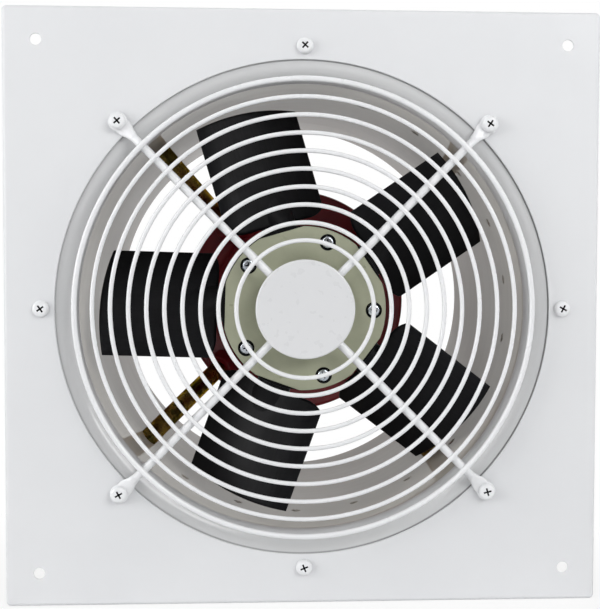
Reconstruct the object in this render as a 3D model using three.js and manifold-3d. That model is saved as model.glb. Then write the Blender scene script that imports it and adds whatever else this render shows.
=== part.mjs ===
// Window exhaust fan: a square wall plate, a round casing behind it and a five-blade impeller.
// Millimetres, +Z up. The fan turns about Y, the room is on the -Y side, and the plate's folded
// edges rest on the wall at y = 0. The origin is on the fan's axis in the plane of the wall.

import * as THREE from 'three';
import { mergeVertices, toCreasedNormals } from 'three/addons/utils/BufferGeometryUtils.js';
import Module from 'manifold-3d';

const wasm = await Module();
wasm.setup();

// ---- sizes that can be set one by one ----
const gap = 0.3; // between two pieces that touch

const throatRadius = 163; // the duct's size, which the plate, mouth, guard and blades follow
const mouthRoll = 15; // from the throat out to the plate's opening
const flangeWidth = 19;
const plateMargin = 17; // plate beyond the flange
const plateCorner = 0.4; // of the flat face, inside the rounded folds
const plateFold = 15; // how far the plate stands off the wall
const plateSheet = 1.5;
const plateEdgeRound = 3;
const wallHoleInset = 24;
const wallHoleRadius = 4;

const ringSheet = 1.5;
const throatDepth = 15; // from the plate's face to where the mouth turns straight
const collarDepth = 88;

const casingWall = 1.6;
const casingStart = 34;
const casingDepth = 281;
const casingBead = 3;

const screwInset = 9.5; // from the flange's edge
const screwCount = 8;
const screwRadius = 3;
const screwHeadRadius = 6;
const screwHeadHeight = 3.4;
const screwLength = 15;
const nutRadius = 5.4;
const nutLength = 7;

const guardRingCount = 10;
const guardFirstRing = 48.8;
const guardClear = 25; // from the outer ring to the flange screws
const guardWire = 1.6;
const guardOuterWire = 2;
const guardSpoke = 3;
const guardHeight = 7.5; // spoke centre over the plate's face, all but at its feet
const guardFootRadius = 6.9;
const guardFootThickness = 2.6;
const discRadius = 35.3;
const discThickness = 3.4;

const tipClearance = 12;
const bladeInnerRadius = 63.5;
const bladeChord = 92;
const bladePitch = 33; // degrees
const bladeThickness = 6.4;
const bladeCamber = 4;
const bladeCount = 5;
const bladePhase = 34.4; // degrees, first blade's centre line from +X
const bladeDepth = 41; // pitch axis behind the plate's face
const shankRadius = 13;
const shankCollarRadius = 17;
const shankCollarWidth = 5;
const shankInnerRadius = 34;

const hubPlateRadius = 59.6;
const hubFlatRadius = 57.2; // to each of the five flats, one behind every blade
const hubPlateDepth = 6;
const hubPlateThickness = 8;
const hubClampRadius = 60.3;
const hubClampBack = 66;
const hubBossRadius = 24;
const hubBossLength = 14;
const hubScrewCircle = 50.8;
const hubScrewHead = 4.9;
const hubScrewHeadHeight = 3;
const hubScrewRadius = 2.5;
const hubScrewPhase = -1.6; // degrees
const setScrewRadius = 3;
const setScrewLength = 12;

const shaftRadius = 9.5;
const shaftStart = 24;
const shaftTailRadius = 7.5;
const bearingWidth = 13;
const frontBearingRadius = 23.5;
const rearBearingRadius = 17.5;

const noseDepth = 118;
const noseRadius = 35;
const domeInset = 27; // from the rim's edge in to the foot of the dome
const rimDepth = 190;
const rimOverhang = 4; // rim beyond the body
const rimWidth = 9;
const bellWall = 6;
const statorLength = 38;
const statorBore = 62;
const windingBore = 52;
const endTurn = 7;
const airGap = 0.7;
const motorBodyLength = 52;
const ribCount = 28;
const ribHeight = 3.2;
const motorBodyRadius = 95; // the motor's size, which its bells, core and arms follow
const motorBodyWall = 4.7;
const rearBellThickness = 8;
const rearBossRadius = 27;
const rearBossLength = 10;
const lugCount = 4;
const lugPhase = 87; // degrees
const lugWidth = 15;
const bellScrewRadius = 2.5;
const bellScrewHead = 4.6;
const bellScrewLength = 16;

const armRadius = 7.5;
const armWall = 1.6;
const armCount = 4;
const armPhase = 42; // degrees
const armOuterDepth = 108.3;
const armInnerDepth = 190;
const armInset = 13.5; // from the rim's edge in to where an arm meets it
const armPlug = 15;
const armSocketRadius = 12;
const armSocketLength = 16;
const armBoltRadius = 3;
const armBoltHead = 5.8;
const armBoltHeadHeight = 4;
const armBoltLength = 12;

const glandCircle = 66;
const glandPhase = -48; // degrees
const glandHexRadius = 11;
const glandBore = 3.6;
const glandLength = 18;

const casingSides = 48;
const motorSides = 32;

// ---- places that follow from the sizes ----
const mouthRadius = throatRadius + mouthRoll; // opening in the plate
const flangeRadius = mouthRadius + flangeWidth;
const screwCircle = flangeRadius - screwInset;
const plateSize = (flangeRadius + plateMargin) * 2;
const wallHolePitch = plateSize - wallHoleInset * 2;
const guardRingPitch = (screwCircle - guardClear - guardFirstRing) / (guardRingCount - 1);
const tipRadius = throatRadius - tipClearance;
const faceY = -plateFold; // the plate's face
const depth = (d) => faceY + d;
const rad = THREE.MathUtils.degToRad;
const casingRadius = throatRadius + ringSheet + gap; // inside of the casing
const casingOuter = casingRadius + casingWall;
const flangeFront = faceY + plateSheet + gap;
const hubSplitHalf = gap / 2;
const clampFront = depth(hubPlateDepth + hubPlateThickness) + gap;
const clampBack = depth(hubClampBack);
const bladeAxisY = depth(bladeDepth);
const rimRadius = motorBodyRadius + rimOverhang;
const domeRadius = rimRadius - domeInset;
const armInnerRadius = rimRadius - armInset;
const statorRadius = motorBodyRadius - motorBodyWall - gap;
const rimFront = depth(rimDepth);
const rimBack = rimFront + rimWidth;
const bodyFront = rimBack + gap;
const bodyBack = bodyFront + motorBodyLength;
const rearBellFront = bodyBack + gap;
const rearBellBack = rearBellFront + rearBellThickness;
const noseFront = depth(noseDepth);
const frontBearingY = noseFront + bellWall + gap;
const rearBearingY = rearBellBack + rearBossLength - bellWall - gap - bearingWidth;
const statorFront = bodyFront + (motorBodyLength - statorLength) / 2;
const statorBack = statorFront + statorLength;
const lugCircle = (statorRadius + motorBodyRadius + ribHeight + gap) / 2;

// ---- helpers: closed solids in, joined or cut solids out ----
function solid(geometry) {
  const bare = geometry.index ? geometry.toNonIndexed() : geometry.clone();
  bare.deleteAttribute('normal');
  bare.deleteAttribute('uv');
  const welded = mergeVertices(bare, 1e-4);
  const place = welded.attributes.position;
  const kept = [];
  const a = new THREE.Vector3();
  const b = new THREE.Vector3();
  const c = new THREE.Vector3();
  let volume = 0;
  for (let i = 0; i < welded.index.count; i += 3) {
    const corners = [welded.index.getX(i), welded.index.getX(i + 1), welded.index.getX(i + 2)];
    if (new Set(corners).size < 3) continue;
    kept.push(corners);
    a.fromBufferAttribute(place, corners[0]);
    b.fromBufferAttribute(place, corners[1]);
    c.fromBufferAttribute(place, corners[2]);
    volume += a.dot(b.cross(c));
  }
  if (volume < 0) kept.forEach((corners) => corners.reverse());
  const vertProperties = Float32Array.from(place.array);
  const triVerts = Uint32Array.from(kept.flat());
  return new wasm.Manifold(new wasm.Mesh({ numProp: 3, vertProperties, triVerts }));
}

function surface(body) {
  const mesh = body.getMesh();
  const geometry = new THREE.BufferGeometry();
  geometry.setAttribute('position', new THREE.BufferAttribute(Float32Array.from(mesh.vertProperties), 3));
  geometry.setIndex(new THREE.BufferAttribute(Uint32Array.from(mesh.triVerts), 1));
  return toCreasedNormals(geometry, rad(35));
}

const join = (...bodies) => bodies.reduce((whole, body) => whole.add(body));
const cut = (body, ...tools) => tools.reduce((rest, tool) => rest.subtract(tool), body);

// A profile of [radius, y] pairs turned about Y.
function turned(profile, sides) {
  const points = profile.map(([radius, y]) => new THREE.Vector2(radius, y));
  return new THREE.LatheGeometry(points, sides);
}

// A round bar along Y from y0 to y1.
function bar(radius, y0, y1, sides = 16) {
  const geometry = new THREE.CylinderGeometry(radius, radius, y1 - y0, sides);
  return geometry.translate(0, (y0 + y1) / 2, 0);
}

// A round bar between two points.
function rod(radius, from, to, sides = 16) {
  const along = new THREE.Vector3().subVectors(to, from);
  const geometry = new THREE.CylinderGeometry(radius, radius, along.length(), sides);
  geometry.applyQuaternion(
    new THREE.Quaternion().setFromUnitVectors(new THREE.Vector3(0, 1, 0), along.clone().normalize()),
  );
  const middle = from.clone().add(to).multiplyScalar(0.5);
  return geometry.translate(middle.x, middle.y, middle.z);
}

// An outline drawn in X and Z, pushed from y0 to y1.
function pushed(shape, y0, y1, curveSegments = 6) {
  const geometry = new THREE.ExtrudeGeometry(shape, { depth: y1 - y0, bevelEnabled: false, curveSegments });
  return geometry.rotateX(Math.PI / 2).translate(0, y1, 0);
}

function roundedSquare(half, corner) {
  const shape = new THREE.Shape();
  shape.moveTo(-half + corner, -half);
  shape.lineTo(half - corner, -half);
  shape.absarc(half - corner, -half + corner, corner, -Math.PI / 2, 0, false);
  shape.lineTo(half, half - corner);
  shape.absarc(half - corner, half - corner, corner, 0, Math.PI / 2, false);
  shape.lineTo(-half + corner, half);
  shape.absarc(-half + corner, half - corner, corner, Math.PI / 2, Math.PI, false);
  shape.lineTo(-half, -half + corner);
  shape.absarc(-half + corner, -half + corner, corner, Math.PI, Math.PI * 1.5, false);
  return shape;
}

// A piece drawn at the top of the fan, above the axis, goes to an angle measured from +X.
const toAngle = (degrees) => rad(90 - degrees);
const turnedTo = (geometry, degrees) => geometry.clone().rotateY(toAngle(degrees));

const group = new THREE.Group();
const impeller = new THREE.Group();
group.add(impeller);

function place(name, geometry, material, parent = group, degrees = null) {
  const mesh = new THREE.Mesh(geometry, new THREE.MeshStandardMaterial(material));
  mesh.name = name;
  if (degrees !== null) mesh.rotation.y = toAngle(degrees);
  parent.add(mesh);
  return mesh;
}

const whiteCoat = { color: 0xe4e6e8, roughness: 0.42, metalness: 0.0 };
const guardCoat = { color: 0xf0f1f3, roughness: 0.35, metalness: 0.0 };
const zinc = { color: 0xb9c2cb, roughness: 0.28, metalness: 1.0 };
const redCoat = { color: 0x4a0c12, roughness: 0.4, metalness: 0.0 };
const blackNylon = { color: 0x17181a, roughness: 0.48, metalness: 0.0 };
const hubGrey = { color: 0x9a9d83, roughness: 0.5, metalness: 0.1 };
const yellowZinc = { color: 0x6b4a16, roughness: 0.34, metalness: 1.0 };
const castSteel = { color: 0x8d9196, roughness: 0.4, metalness: 1.0 };

// ---- pan-head screw along Y, its head's underside at y = 0, its tip towards +Y ----
function crossRecess(width, length, sink, top) {
  const one = new THREE.BoxGeometry(length, sink * 2, width).translate(0, top, 0);
  const two = new THREE.BoxGeometry(width, sink * 2, length).translate(0, top, 0);
  return join(solid(one), solid(two));
}

function panScrew(headRadius, headHeight, radius, length) {
  const profile = [
    [0, -headHeight],
    [headRadius * 0.7, -headHeight * 0.9],
    [headRadius, -headHeight * 0.35],
    [headRadius, 0],
    [radius, 0],
    [radius, length],
    [0, length],
  ];
  const recess = crossRecess(headRadius * 0.2, headRadius * 0.85, headHeight * 0.45, -headHeight);
  return cut(solid(turned(profile, 8)), recess);
}

// ---- wall plate: folded sheet with a round mouth ----
const plateSpan = plateSize / 2;
const plateBlock = new THREE.ExtrudeGeometry(roundedSquare(plateSpan - plateEdgeRound, plateCorner), {
  depth: plateFold + plateEdgeRound,
  bevelEnabled: true,
  bevelThickness: plateEdgeRound,
  bevelSize: plateEdgeRound,
  bevelSegments: 2,
  curveSegments: 4,
});
plateBlock.rotateX(Math.PI / 2).translate(0, faceY + plateFold + plateEdgeRound * 2, 0);
const plateInside = pushed(
  roundedSquare(plateSpan - plateSheet, plateCorner + plateEdgeRound - plateSheet),
  faceY + plateSheet,
  plateFold + plateEdgeRound * 4,
  4,
);
const behindWall = new THREE.BoxGeometry(plateSize * 2, plateSize, plateSize * 2);
behindWall.translate(0, plateSize / 2, 0);
let plateBody = cut(solid(plateBlock), solid(plateInside), solid(behindWall));
plateBody = cut(plateBody, solid(bar(mouthRadius, faceY - plateFold, plateFold, 56)));
for (const x of [-1, 1]) {
  for (const z of [-1, 1]) {
    const hole = bar(wallHoleRadius, faceY - plateFold, plateFold, 10);
    hole.translate((x * wallHolePitch) / 2, 0, (z * wallHolePitch) / 2);
    plateBody = cut(plateBody, solid(hole));
  }
}

// ---- mouth ring: flange behind the plate, a rolled mouth and a straight collar ----
const mouthSteps = 5;
const rollWidth = mouthRadius - throatRadius;
const rollDepth = depth(throatDepth) - flangeFront;
const ringProfile = [];
ringProfile.push([flangeRadius, flangeFront]);
for (let i = 0; i <= mouthSteps; i++) {
  const turn = (i / mouthSteps) * (Math.PI / 2);
  ringProfile.push([
    throatRadius + rollWidth * (1 - Math.sin(turn)),
    flangeFront + rollDepth * (1 - Math.cos(turn)),
  ]);
}
ringProfile.push([throatRadius, depth(collarDepth)]);
ringProfile.push([throatRadius + ringSheet, depth(collarDepth)]);
for (let i = mouthSteps; i >= 0; i--) {
  const turn = (i / mouthSteps) * (Math.PI / 2);
  ringProfile.push([
    throatRadius + ringSheet + rollWidth * (1 - Math.sin(turn)),
    flangeFront + ringSheet + (rollDepth - ringSheet) * (1 - Math.cos(turn)),
  ]);
}
ringProfile.push([flangeRadius, flangeFront + ringSheet]);
ringProfile.push([flangeRadius, flangeFront]);
let ringBody = solid(turned(ringProfile, casingSides));

// ---- casing: the long tube behind the mouth, with a rolled bead near its end ----
const beadAt = depth(casingDepth) - casingBead * 4;
const casingProfile = [
  [casingRadius, depth(casingStart)],
  [casingOuter, depth(casingStart)],
  [casingOuter, beadAt - casingBead],
  [casingOuter + casingBead, beadAt],
  [casingOuter, beadAt + casingBead],
  [casingOuter, depth(casingDepth)],
  [casingRadius, depth(casingDepth)],
  [casingRadius, depth(casingStart)],
];
let casingBody = solid(turned(casingProfile, casingSides));

// ---- flange screws, their pressed nuts on the ring, and their holes ----
const screw = surface(panScrew(screwHeadRadius, screwHeadHeight, screwRadius, screwLength));
const footSeat = guardFootThickness + gap * 2;
for (let i = 0; i < screwCount; i++) {
  const angle = (i * 360) / screwCount;
  const footed = i % 2 === 1;
  const nut = bar(nutRadius, flangeFront + ringSheet - gap, flangeFront + ringSheet + nutLength, 6);
  const hole = bar(screwRadius + gap, faceY - plateFold, plateFold * 2, 8);
  nut.translate(0, 0, screwCircle);
  hole.translate(0, 0, screwCircle);
  ringBody = ringBody.add(solid(turnedTo(nut, angle)));
  ringBody = cut(ringBody, solid(turnedTo(hole, angle)));
  plateBody = cut(plateBody, solid(turnedTo(hole, angle)));
  const seat = faceY - gap - (footed ? footSeat - gap : 0);
  const placed = screw.clone().translate(0, seat, screwCircle);
  place(`flange_screw_${i + 1}`, placed, footed ? { ...guardCoat } : { ...whiteCoat }, group, angle);
}

// ---- motor arms: four tubes from the casing's wall back to sockets on the motor ----
const armOuter = new THREE.Vector3(0, depth(armOuterDepth), casingRadius);
const armInner = new THREE.Vector3(0, depth(armInnerDepth), armInnerRadius);
const armAlong = new THREE.Vector3().subVectors(armInner, armOuter).normalize();
const armBeyond = armOuter.clone().addScaledVector(armAlong, -armRadius * 3);
const armPlugEnd = armOuter.clone().addScaledVector(armAlong, armPlug);
const armPast = armInner.clone().addScaledVector(armAlong, armRadius);
const casingInside = bar(casingRadius - gap, depth(0), depth(casingDepth), casingSides);
const boltHole = rod(
  armBoltRadius + gap,
  new THREE.Vector3(0, armOuter.y, casingRadius - armBoltLength),
  new THREE.Vector3(0, armOuter.y, casingOuter * 1.1),
  12,
);
const armTube = cut(
  solid(rod(armRadius, armBeyond, armInner, 10)),
  solid(rod(armRadius - armWall, armPlugEnd, armPast, 8)),
  solid(boltHole),
);
const armGeometry = surface(armTube);
const boltHead = rod(
  armBoltHead,
  new THREE.Vector3(0, armOuter.y, casingOuter + gap),
  new THREE.Vector3(0, armOuter.y, casingOuter + gap + armBoltHeadHeight),
  6,
);
const boltShank = rod(
  armBoltRadius,
  new THREE.Vector3(0, armOuter.y, casingRadius - armBoltLength + gap * 3),
  new THREE.Vector3(0, armOuter.y, casingOuter + armBoltHeadHeight / 2),
  12,
);
const boltGeometry = surface(join(solid(boltHead), solid(boltShank)));
for (let i = 0; i < armCount; i++) {
  const angle = armPhase + (i * 360) / armCount;
  casingBody = cut(casingBody, solid(turnedTo(boltHole, angle)));
  const trimmed = solid(turnedTo(armGeometry, angle)).intersect(solid(casingInside));
  place(`motor_arm_${i + 1}`, surface(trimmed), { ...yellowZinc });
  place(`arm_bolt_${i + 1}`, boltGeometry, { ...zinc }, group, angle);
}

place('wall_plate', surface(plateBody), { ...whiteCoat });
place('mouth_ring', surface(ringBody), { ...whiteCoat });
place('casing', surface(casingBody), { ...whiteCoat, color: 0xc9c8c6 });

// ---- wire guard: four spokes behind ten rings, each foot flattened under its screw ----
const footCentre = faceY - gap - guardFootThickness / 2;
const footSpokeY = faceY - gap - guardSpoke;
const topSpokeY = faceY - guardHeight;
const footStart = screwCircle - guardFootRadius * 1.2;
const spokeLine = (share, rise) => {
  return new THREE.Vector3(0, footSpokeY + (topSpokeY - footSpokeY) * rise, footStart * share);
};
const spokePath = new THREE.CatmullRomCurve3([
  spokeLine(0, 1),
  spokeLine(0.3, 1),
  spokeLine(0.6, 1),
  spokeLine(0.88, 1),
  spokeLine(0.95, 0.3),
  spokeLine(1, 0),
]);
const spokeSection = new THREE.Shape();
spokeSection.absarc(0, 0, guardSpoke, 0, Math.PI * 2, false);
const spoke = new THREE.ExtrudeGeometry(spokeSection, {
  steps: 8,
  curveSegments: 3,
  extrudePath: spokePath,
});
const spokeHeight = (radius) => {
  let best = spokePath.getPoint(0);
  for (let i = 0; i <= 200; i++) {
    const point = spokePath.getPoint(i / 200);
    if (Math.abs(point.z - radius) < Math.abs(best.z - radius)) best = point;
  }
  return best.y;
};
const footShape = new THREE.Shape();
footShape.moveTo(guardSpoke, footStart - guardFootRadius);
footShape.lineTo(guardFootRadius * 0.92, screwCircle - guardFootRadius * 0.4);
footShape.absarc(0, screwCircle, guardFootRadius, -0.4, Math.PI + 0.4, false);
footShape.lineTo(-guardSpoke, footStart - guardFootRadius);
const footBlank = new THREE.ExtrudeGeometry(footShape, {
  depth: guardFootThickness,
  bevelEnabled: false,
  curveSegments: 4,
});
// The outline's second axis becomes Z, so the foot lies flat on the plate.
footBlank.rotateX(Math.PI / 2);
footBlank.translate(0, footCentre + guardFootThickness / 2, 0);
const footHole = bar(screwRadius + gap, faceY - plateFold, faceY + plateFold, 8);
footHole.translate(0, 0, screwCircle);
const guardArm = cut(join(solid(spoke), solid(footBlank)), solid(footHole));
const guardArmGeometry = surface(guardArm);
let guardBody = solid(new THREE.SphereGeometry(guardSpoke * 1.15, 8, 4).translate(0, topSpokeY, 0));
for (let i = 0; i < 4; i++) guardBody = guardBody.add(solid(turnedTo(guardArmGeometry, 45 + 90 * i)));
for (let i = 0; i < guardRingCount; i++) {
  const radius = guardFirstRing + guardRingPitch * i;
  const wire = i === guardRingCount - 1 ? guardOuterWire : guardWire;
  const sides = 18 + 2 * i;
  const ring = new THREE.TorusGeometry(radius, wire, 5, sides).rotateX(Math.PI / 2);
  ring.translate(0, spokeHeight(radius) - guardSpoke * 0.9 - wire * 0.6, 0);
  guardBody = guardBody.add(solid(ring));
}
place('wire_guard', surface(guardBody), { ...guardCoat });

const discBack = topSpokeY - guardSpoke * 1.15 - gap;
const discProfile = [
  [0, discBack],
  [discRadius - discThickness * 0.3, discBack],
  [discRadius, discBack - discThickness * 0.35],
  [discRadius - discThickness * 0.35, discBack - discThickness * 0.85],
  [discRadius * 0.6, discBack - discThickness],
  [0, discBack - discThickness],
];
place('guard_disc', turned(discProfile.reverse(), 28), { ...guardCoat });

// ---- motor, fixed: front bell with its dome and arm sockets ----
const bellInner = statorRadius + gap;
const noseInner = frontBearingRadius + bellWall * 1.6;
const frontBellProfile = [
  [shaftRadius + bellWall / 2, noseFront],
  [noseRadius - bellWall / 2, noseFront],
  [noseRadius, noseFront + bellWall / 2],
  [domeRadius, rimFront - bellWall * 0.6],
  [domeRadius + bellWall * 0.4, rimFront],
  [rimRadius - rimWidth * 0.35, rimFront],
  [rimRadius, rimFront + rimWidth * 0.35],
  [rimRadius, rimBack],
  [statorRadius, rimBack],
  [statorRadius, rimFront + bellWall],
  [domeRadius - bellWall, rimFront + bellWall * 0.5],
  [noseInner, frontBearingY + bearingWidth + bellWall],
  [frontBearingRadius + gap, frontBearingY + bearingWidth + bellWall / 3],
  [frontBearingRadius + gap, frontBearingY - gap],
  [shaftRadius + bellWall / 2, frontBearingY - gap],
  [shaftRadius + bellWall / 2, noseFront],
];
let frontBell = solid(turned(frontBellProfile, motorSides));
const socketMouth = armInner.clone().addScaledVector(armAlong, -armSocketLength * 0.45);
const socketEnd = armInner.clone().addScaledVector(armAlong, armSocketLength * 0.55);
const socketCut = rod(armRadius + gap, armOuter, armInner.clone().addScaledVector(armAlong, gap), 10);
const rimEnvelope = bar(rimRadius - gap, noseFront, rimBack, motorSides);
const socketBoss = solid(rod(armSocketRadius, socketMouth, socketEnd, 10)).intersect(solid(rimEnvelope));
const socketBossGeometry = surface(socketBoss);
for (let i = 0; i < armCount; i++) {
  frontBell = frontBell.add(solid(turnedTo(socketBossGeometry, armPhase + (i * 360) / armCount)));
}
for (let i = 0; i < armCount; i++) {
  frontBell = cut(frontBell, solid(turnedTo(socketCut, armPhase + (i * 360) / armCount)));
}
place('motor_front_bell', surface(frontBell), { ...redCoat });

// ---- motor body: a ribbed ring with four screw lugs ----
const bodyShape = new THREE.Shape();
const lugHalf = Math.asin(lugWidth / 2 / motorBodyRadius);
const nearLug = (turn) => {
  for (let i = 0; i < lugCount; i++) {
    const away = turn - rad(lugPhase + (i * 360) / lugCount);
    if (Math.abs(Math.atan2(Math.sin(away), Math.cos(away))) < lugHalf) return true;
  }
  return false;
};
const outlineSteps = ribCount * 4;
for (let i = 0; i < outlineSteps; i++) {
  const turn = ((i + 0.5) / outlineSteps) * Math.PI * 2;
  const raised = i % 4 < 2 || nearLug(turn);
  const radius = raised ? motorBodyRadius + ribHeight : motorBodyRadius;
  if (i === 0) bodyShape.moveTo(radius * Math.cos(turn), radius * Math.sin(turn));
  else bodyShape.lineTo(radius * Math.cos(turn), radius * Math.sin(turn));
}
let motorBody = cut(
  solid(pushed(bodyShape, bodyFront, bodyBack)),
  solid(bar(bellInner, bodyFront - plateFold, bodyBack + plateFold, motorSides)),
);
const lugHole = bar(bellScrewRadius + gap, bodyBack - bellScrewLength, rearBellBack + plateFold, 10);
lugHole.translate(0, 0, lugCircle);

// ---- motor, rear bell with its bearing boss ----
const rearBossBack = rearBellBack + rearBossLength;
const rearBellProfile = [
  [0, rearBellFront],
  [rimRadius - rimWidth * 0.2, rearBellFront],
  [rimRadius - rimWidth * 0.2, rearBellBack - rearBellThickness * 0.3],
  [rimRadius - rimWidth * 0.5, rearBellBack],
  [rearBossRadius + bellWall, rearBellBack],
  [rearBossRadius, rearBellBack + bellWall / 2],
  [rearBossRadius - bellWall / 3, rearBossBack],
  [0, rearBossBack],
];
const rearPocket = bar(rearBearingRadius + gap, rearBellFront - plateFold, rearBossBack - bellWall, 32);
let rearBell = cut(solid(turned(rearBellProfile, motorSides)), solid(rearPocket));
const bellScrewGeometry = surface(
  panScrew(bellScrewHead, bellScrewHead * 0.55, bellScrewRadius, bellScrewLength),
);
// The screws point forwards, so each is turned over before it is set in the bell.
bellScrewGeometry.rotateX(Math.PI).translate(0, rearBellBack + gap, lugCircle);
const lugPocket = bar(bellScrewHead + bellWall / 2, rearBellBack, rearBossBack, 12);
lugPocket.translate(0, 0, lugCircle);
for (let i = 0; i < lugCount; i++) {
  const angle = lugPhase + (i * 360) / lugCount;
  const pad = bar(bellScrewHead + 0.8, rearBellFront, rearBellBack, 12);
  pad.translate(0, 0, lugCircle - bellScrewHead / 2);
  rearBell = rearBell.add(solid(turnedTo(pad, angle)));
  motorBody = cut(motorBody, solid(turnedTo(lugHole, angle)));
  rearBell = cut(rearBell, solid(turnedTo(lugHole, angle)));
  place(`bell_screw_${i + 1}`, bellScrewGeometry, { ...zinc }, group, angle);
}

// ---- cable gland in the rear bell ----
const glandX = glandCircle * Math.cos(rad(glandPhase));
const glandZ = glandCircle * Math.sin(rad(glandPhase));
const glandNeck = glandHexRadius * 0.72;
const glandShell = join(
  solid(bar(glandHexRadius, rearBellBack + gap, rearBellBack + glandLength * 0.4, 6)),
  solid(bar(glandHexRadius * 0.9, rearBellBack + glandLength * 0.3, rearBellBack + glandLength, 12)),
  solid(bar(glandNeck - gap, rearBellFront, rearBellBack + gap * 2, 12)),
);
const glandBody = cut(glandShell, solid(bar(glandBore, rearBellFront - 1, rearBellBack + glandLength + 1, 12)));
const glandHole = bar(glandNeck, rearBellFront - plateFold, rearBellBack + plateFold, 12);
glandHole.translate(glandX, 0, glandZ);
rearBell = cut(rearBell, solid(glandHole));
place('cable_gland', surface(glandBody).translate(glandX, 0, glandZ), { ...blackNylon });
place('motor_rear_bell', surface(rearBell), { ...redCoat });
place('motor_body', surface(motorBody), { ...redCoat });

// ---- bearings, stator and winding ----
function washerRing(inner, outer, y0, y1, sides) {
  return turned([[inner, y0], [outer, y0], [outer, y1], [inner, y1], [inner, y0]], sides);
}
const frontRace = washerRing(
  shaftRadius + gap, frontBearingRadius, frontBearingY, frontBearingY + bearingWidth, 24,
);
const rearRace = washerRing(
  shaftTailRadius + gap, rearBearingRadius, rearBearingY, rearBearingY + bearingWidth, 24,
);
const stator = washerRing(statorBore, statorRadius, statorFront, statorBack, motorSides);
place('front_bearing', surface(solid(frontRace)), { ...castSteel });
place('rear_bearing', surface(solid(rearRace)), { ...castSteel });
place('stator_core', surface(solid(stator)), { ...castSteel });
const turnsFront = statorFront - gap;
const turnsBack = statorBack + gap;
const turnsOuter = statorBore + endTurn * 2;
const windingFront = Math.max(turnsFront - endTurn, rimBack + gap);
const windingBack = Math.min(turnsBack + endTurn, rearBellFront - gap);
const windingProfile = [
  [windingBore, windingFront],
  [turnsOuter, windingFront],
  [turnsOuter, turnsFront],
  [statorBore - gap, turnsFront],
  [statorBore - gap, turnsBack],
  [turnsOuter, turnsBack],
  [turnsOuter, windingBack],
  [windingBore, windingBack],
  [windingBore, windingFront],
];
place('stator_winding', surface(solid(turned(windingProfile, 24))), { color: 0x8a4a22, roughness: 0.4 });

// ---- moving: shaft and rotor ----
const shaftEnd = rearBearingY + bearingWidth - gap;
const shaftStep = rearBearingY - gap * 2;
const shaftProfile = [
  [0, depth(shaftStart)],
  [shaftRadius - 1, depth(shaftStart)],
  [shaftRadius, depth(shaftStart) + 1],
  [shaftRadius, shaftStep],
  [shaftTailRadius, shaftStep],
  [shaftTailRadius, shaftEnd],
  [0, shaftEnd],
];
place('motor_shaft', surface(solid(turned(shaftProfile, 20))), { ...castSteel }, impeller);
const rotor = washerRing(shaftRadius + gap, windingBore - airGap, statorFront, statorBack, 24);
place('rotor_core', surface(solid(rotor)), { ...castSteel }, impeller);

// ---- moving: hub of a front plate and two clamp halves around the blades' shanks ----
const shank = rod(
  shankRadius + gap,
  new THREE.Vector3(0, bladeAxisY, shankInnerRadius - shankCollarWidth),
  new THREE.Vector3(0, bladeAxisY, hubClampRadius * 1.2),
  12,
);
const collar = rod(
  shankCollarRadius + gap,
  new THREE.Vector3(0, bladeAxisY, shankInnerRadius - gap),
  new THREE.Vector3(0, bladeAxisY, shankInnerRadius + shankCollarWidth + gap),
  12,
);
const socket = join(solid(shank), solid(collar));
const socketGeometry = surface(socket);
const hubScrewHole = bar(hubScrewRadius + gap, depth(0), clampBack - bellWall, 8);
hubScrewHole.translate(0, 0, hubScrewCircle);
const counterbore = bar(hubScrewHead + 1, depth(0), depth(hubPlateDepth) + hubScrewHeadHeight, 10);
counterbore.translate(0, 0, hubScrewCircle);
const hubScrewLength = clampBack - bellWall - depth(hubPlateDepth) - hubScrewHeadHeight - gap * 4;

const hubPlateFront = depth(hubPlateDepth);
const hubPlateBack = hubPlateFront + hubPlateThickness;
const hubEdge = hubPlateThickness * 0.2;
const hubRound = (radius, edge, y0, y1) => solid(turned([
  [0, y0],
  [radius - edge, y0],
  [radius, y0 + edge],
  [radius, y1],
  [0, y1],
], 40));
// Five flats, one square to each blade's axis, as a five-sided bar with a chamfered front edge.
const hubFlats = solid(turned([
  [0, hubPlateFront],
  [(hubFlatRadius - hubEdge) / Math.cos(Math.PI / bladeCount), hubPlateFront],
  [hubFlatRadius / Math.cos(Math.PI / bladeCount), hubPlateFront + hubEdge],
  [hubFlatRadius / Math.cos(Math.PI / bladeCount), hubPlateBack],
  [0, hubPlateBack],
], bladeCount).rotateY(toAngle(bladePhase + 180 / bladeCount)));
let hubPlate = hubRound(hubPlateRadius, hubEdge, hubPlateFront, hubPlateBack).intersect(hubFlats);
const frontHalf = [
  [0, clampFront],
  [hubClampRadius, clampFront],
  [hubClampRadius, bladeAxisY - hubSplitHalf],
  [0, bladeAxisY - hubSplitHalf],
];
const rearHalf = [
  [shaftRadius + gap, bladeAxisY + hubSplitHalf],
  [hubClampRadius, bladeAxisY + hubSplitHalf],
  [hubClampRadius, clampBack - 2],
  [hubClampRadius - 2, clampBack],
  [hubBossRadius, clampBack],
  [hubBossRadius, clampBack + hubBossLength],
  [shaftRadius + gap, clampBack + hubBossLength],
  [shaftRadius + gap, bladeAxisY + hubSplitHalf],
];
const shaftRoom = bar(shaftRadius + gap, depth(shaftStart) - gap, bladeAxisY * 2 + plateFold * 4, 20);
let hubFront = cut(solid(turned(frontHalf, 32)), solid(shaftRoom));
let hubRear = solid(turned(rearHalf, 32));
const setScrewY = clampBack + hubBossLength / 2;
const setScrewHole = rod(
  setScrewRadius + gap,
  new THREE.Vector3(0, setScrewY, 0),
  new THREE.Vector3(0, setScrewY, hubBossRadius * 1.5),
  10,
);
hubRear = cut(hubRear, solid(setScrewHole));
const setScrew = rod(
  setScrewRadius,
  new THREE.Vector3(0, setScrewY, shaftRadius + gap),
  new THREE.Vector3(0, setScrewY, shaftRadius + gap + setScrewLength),
  10,
);

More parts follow.
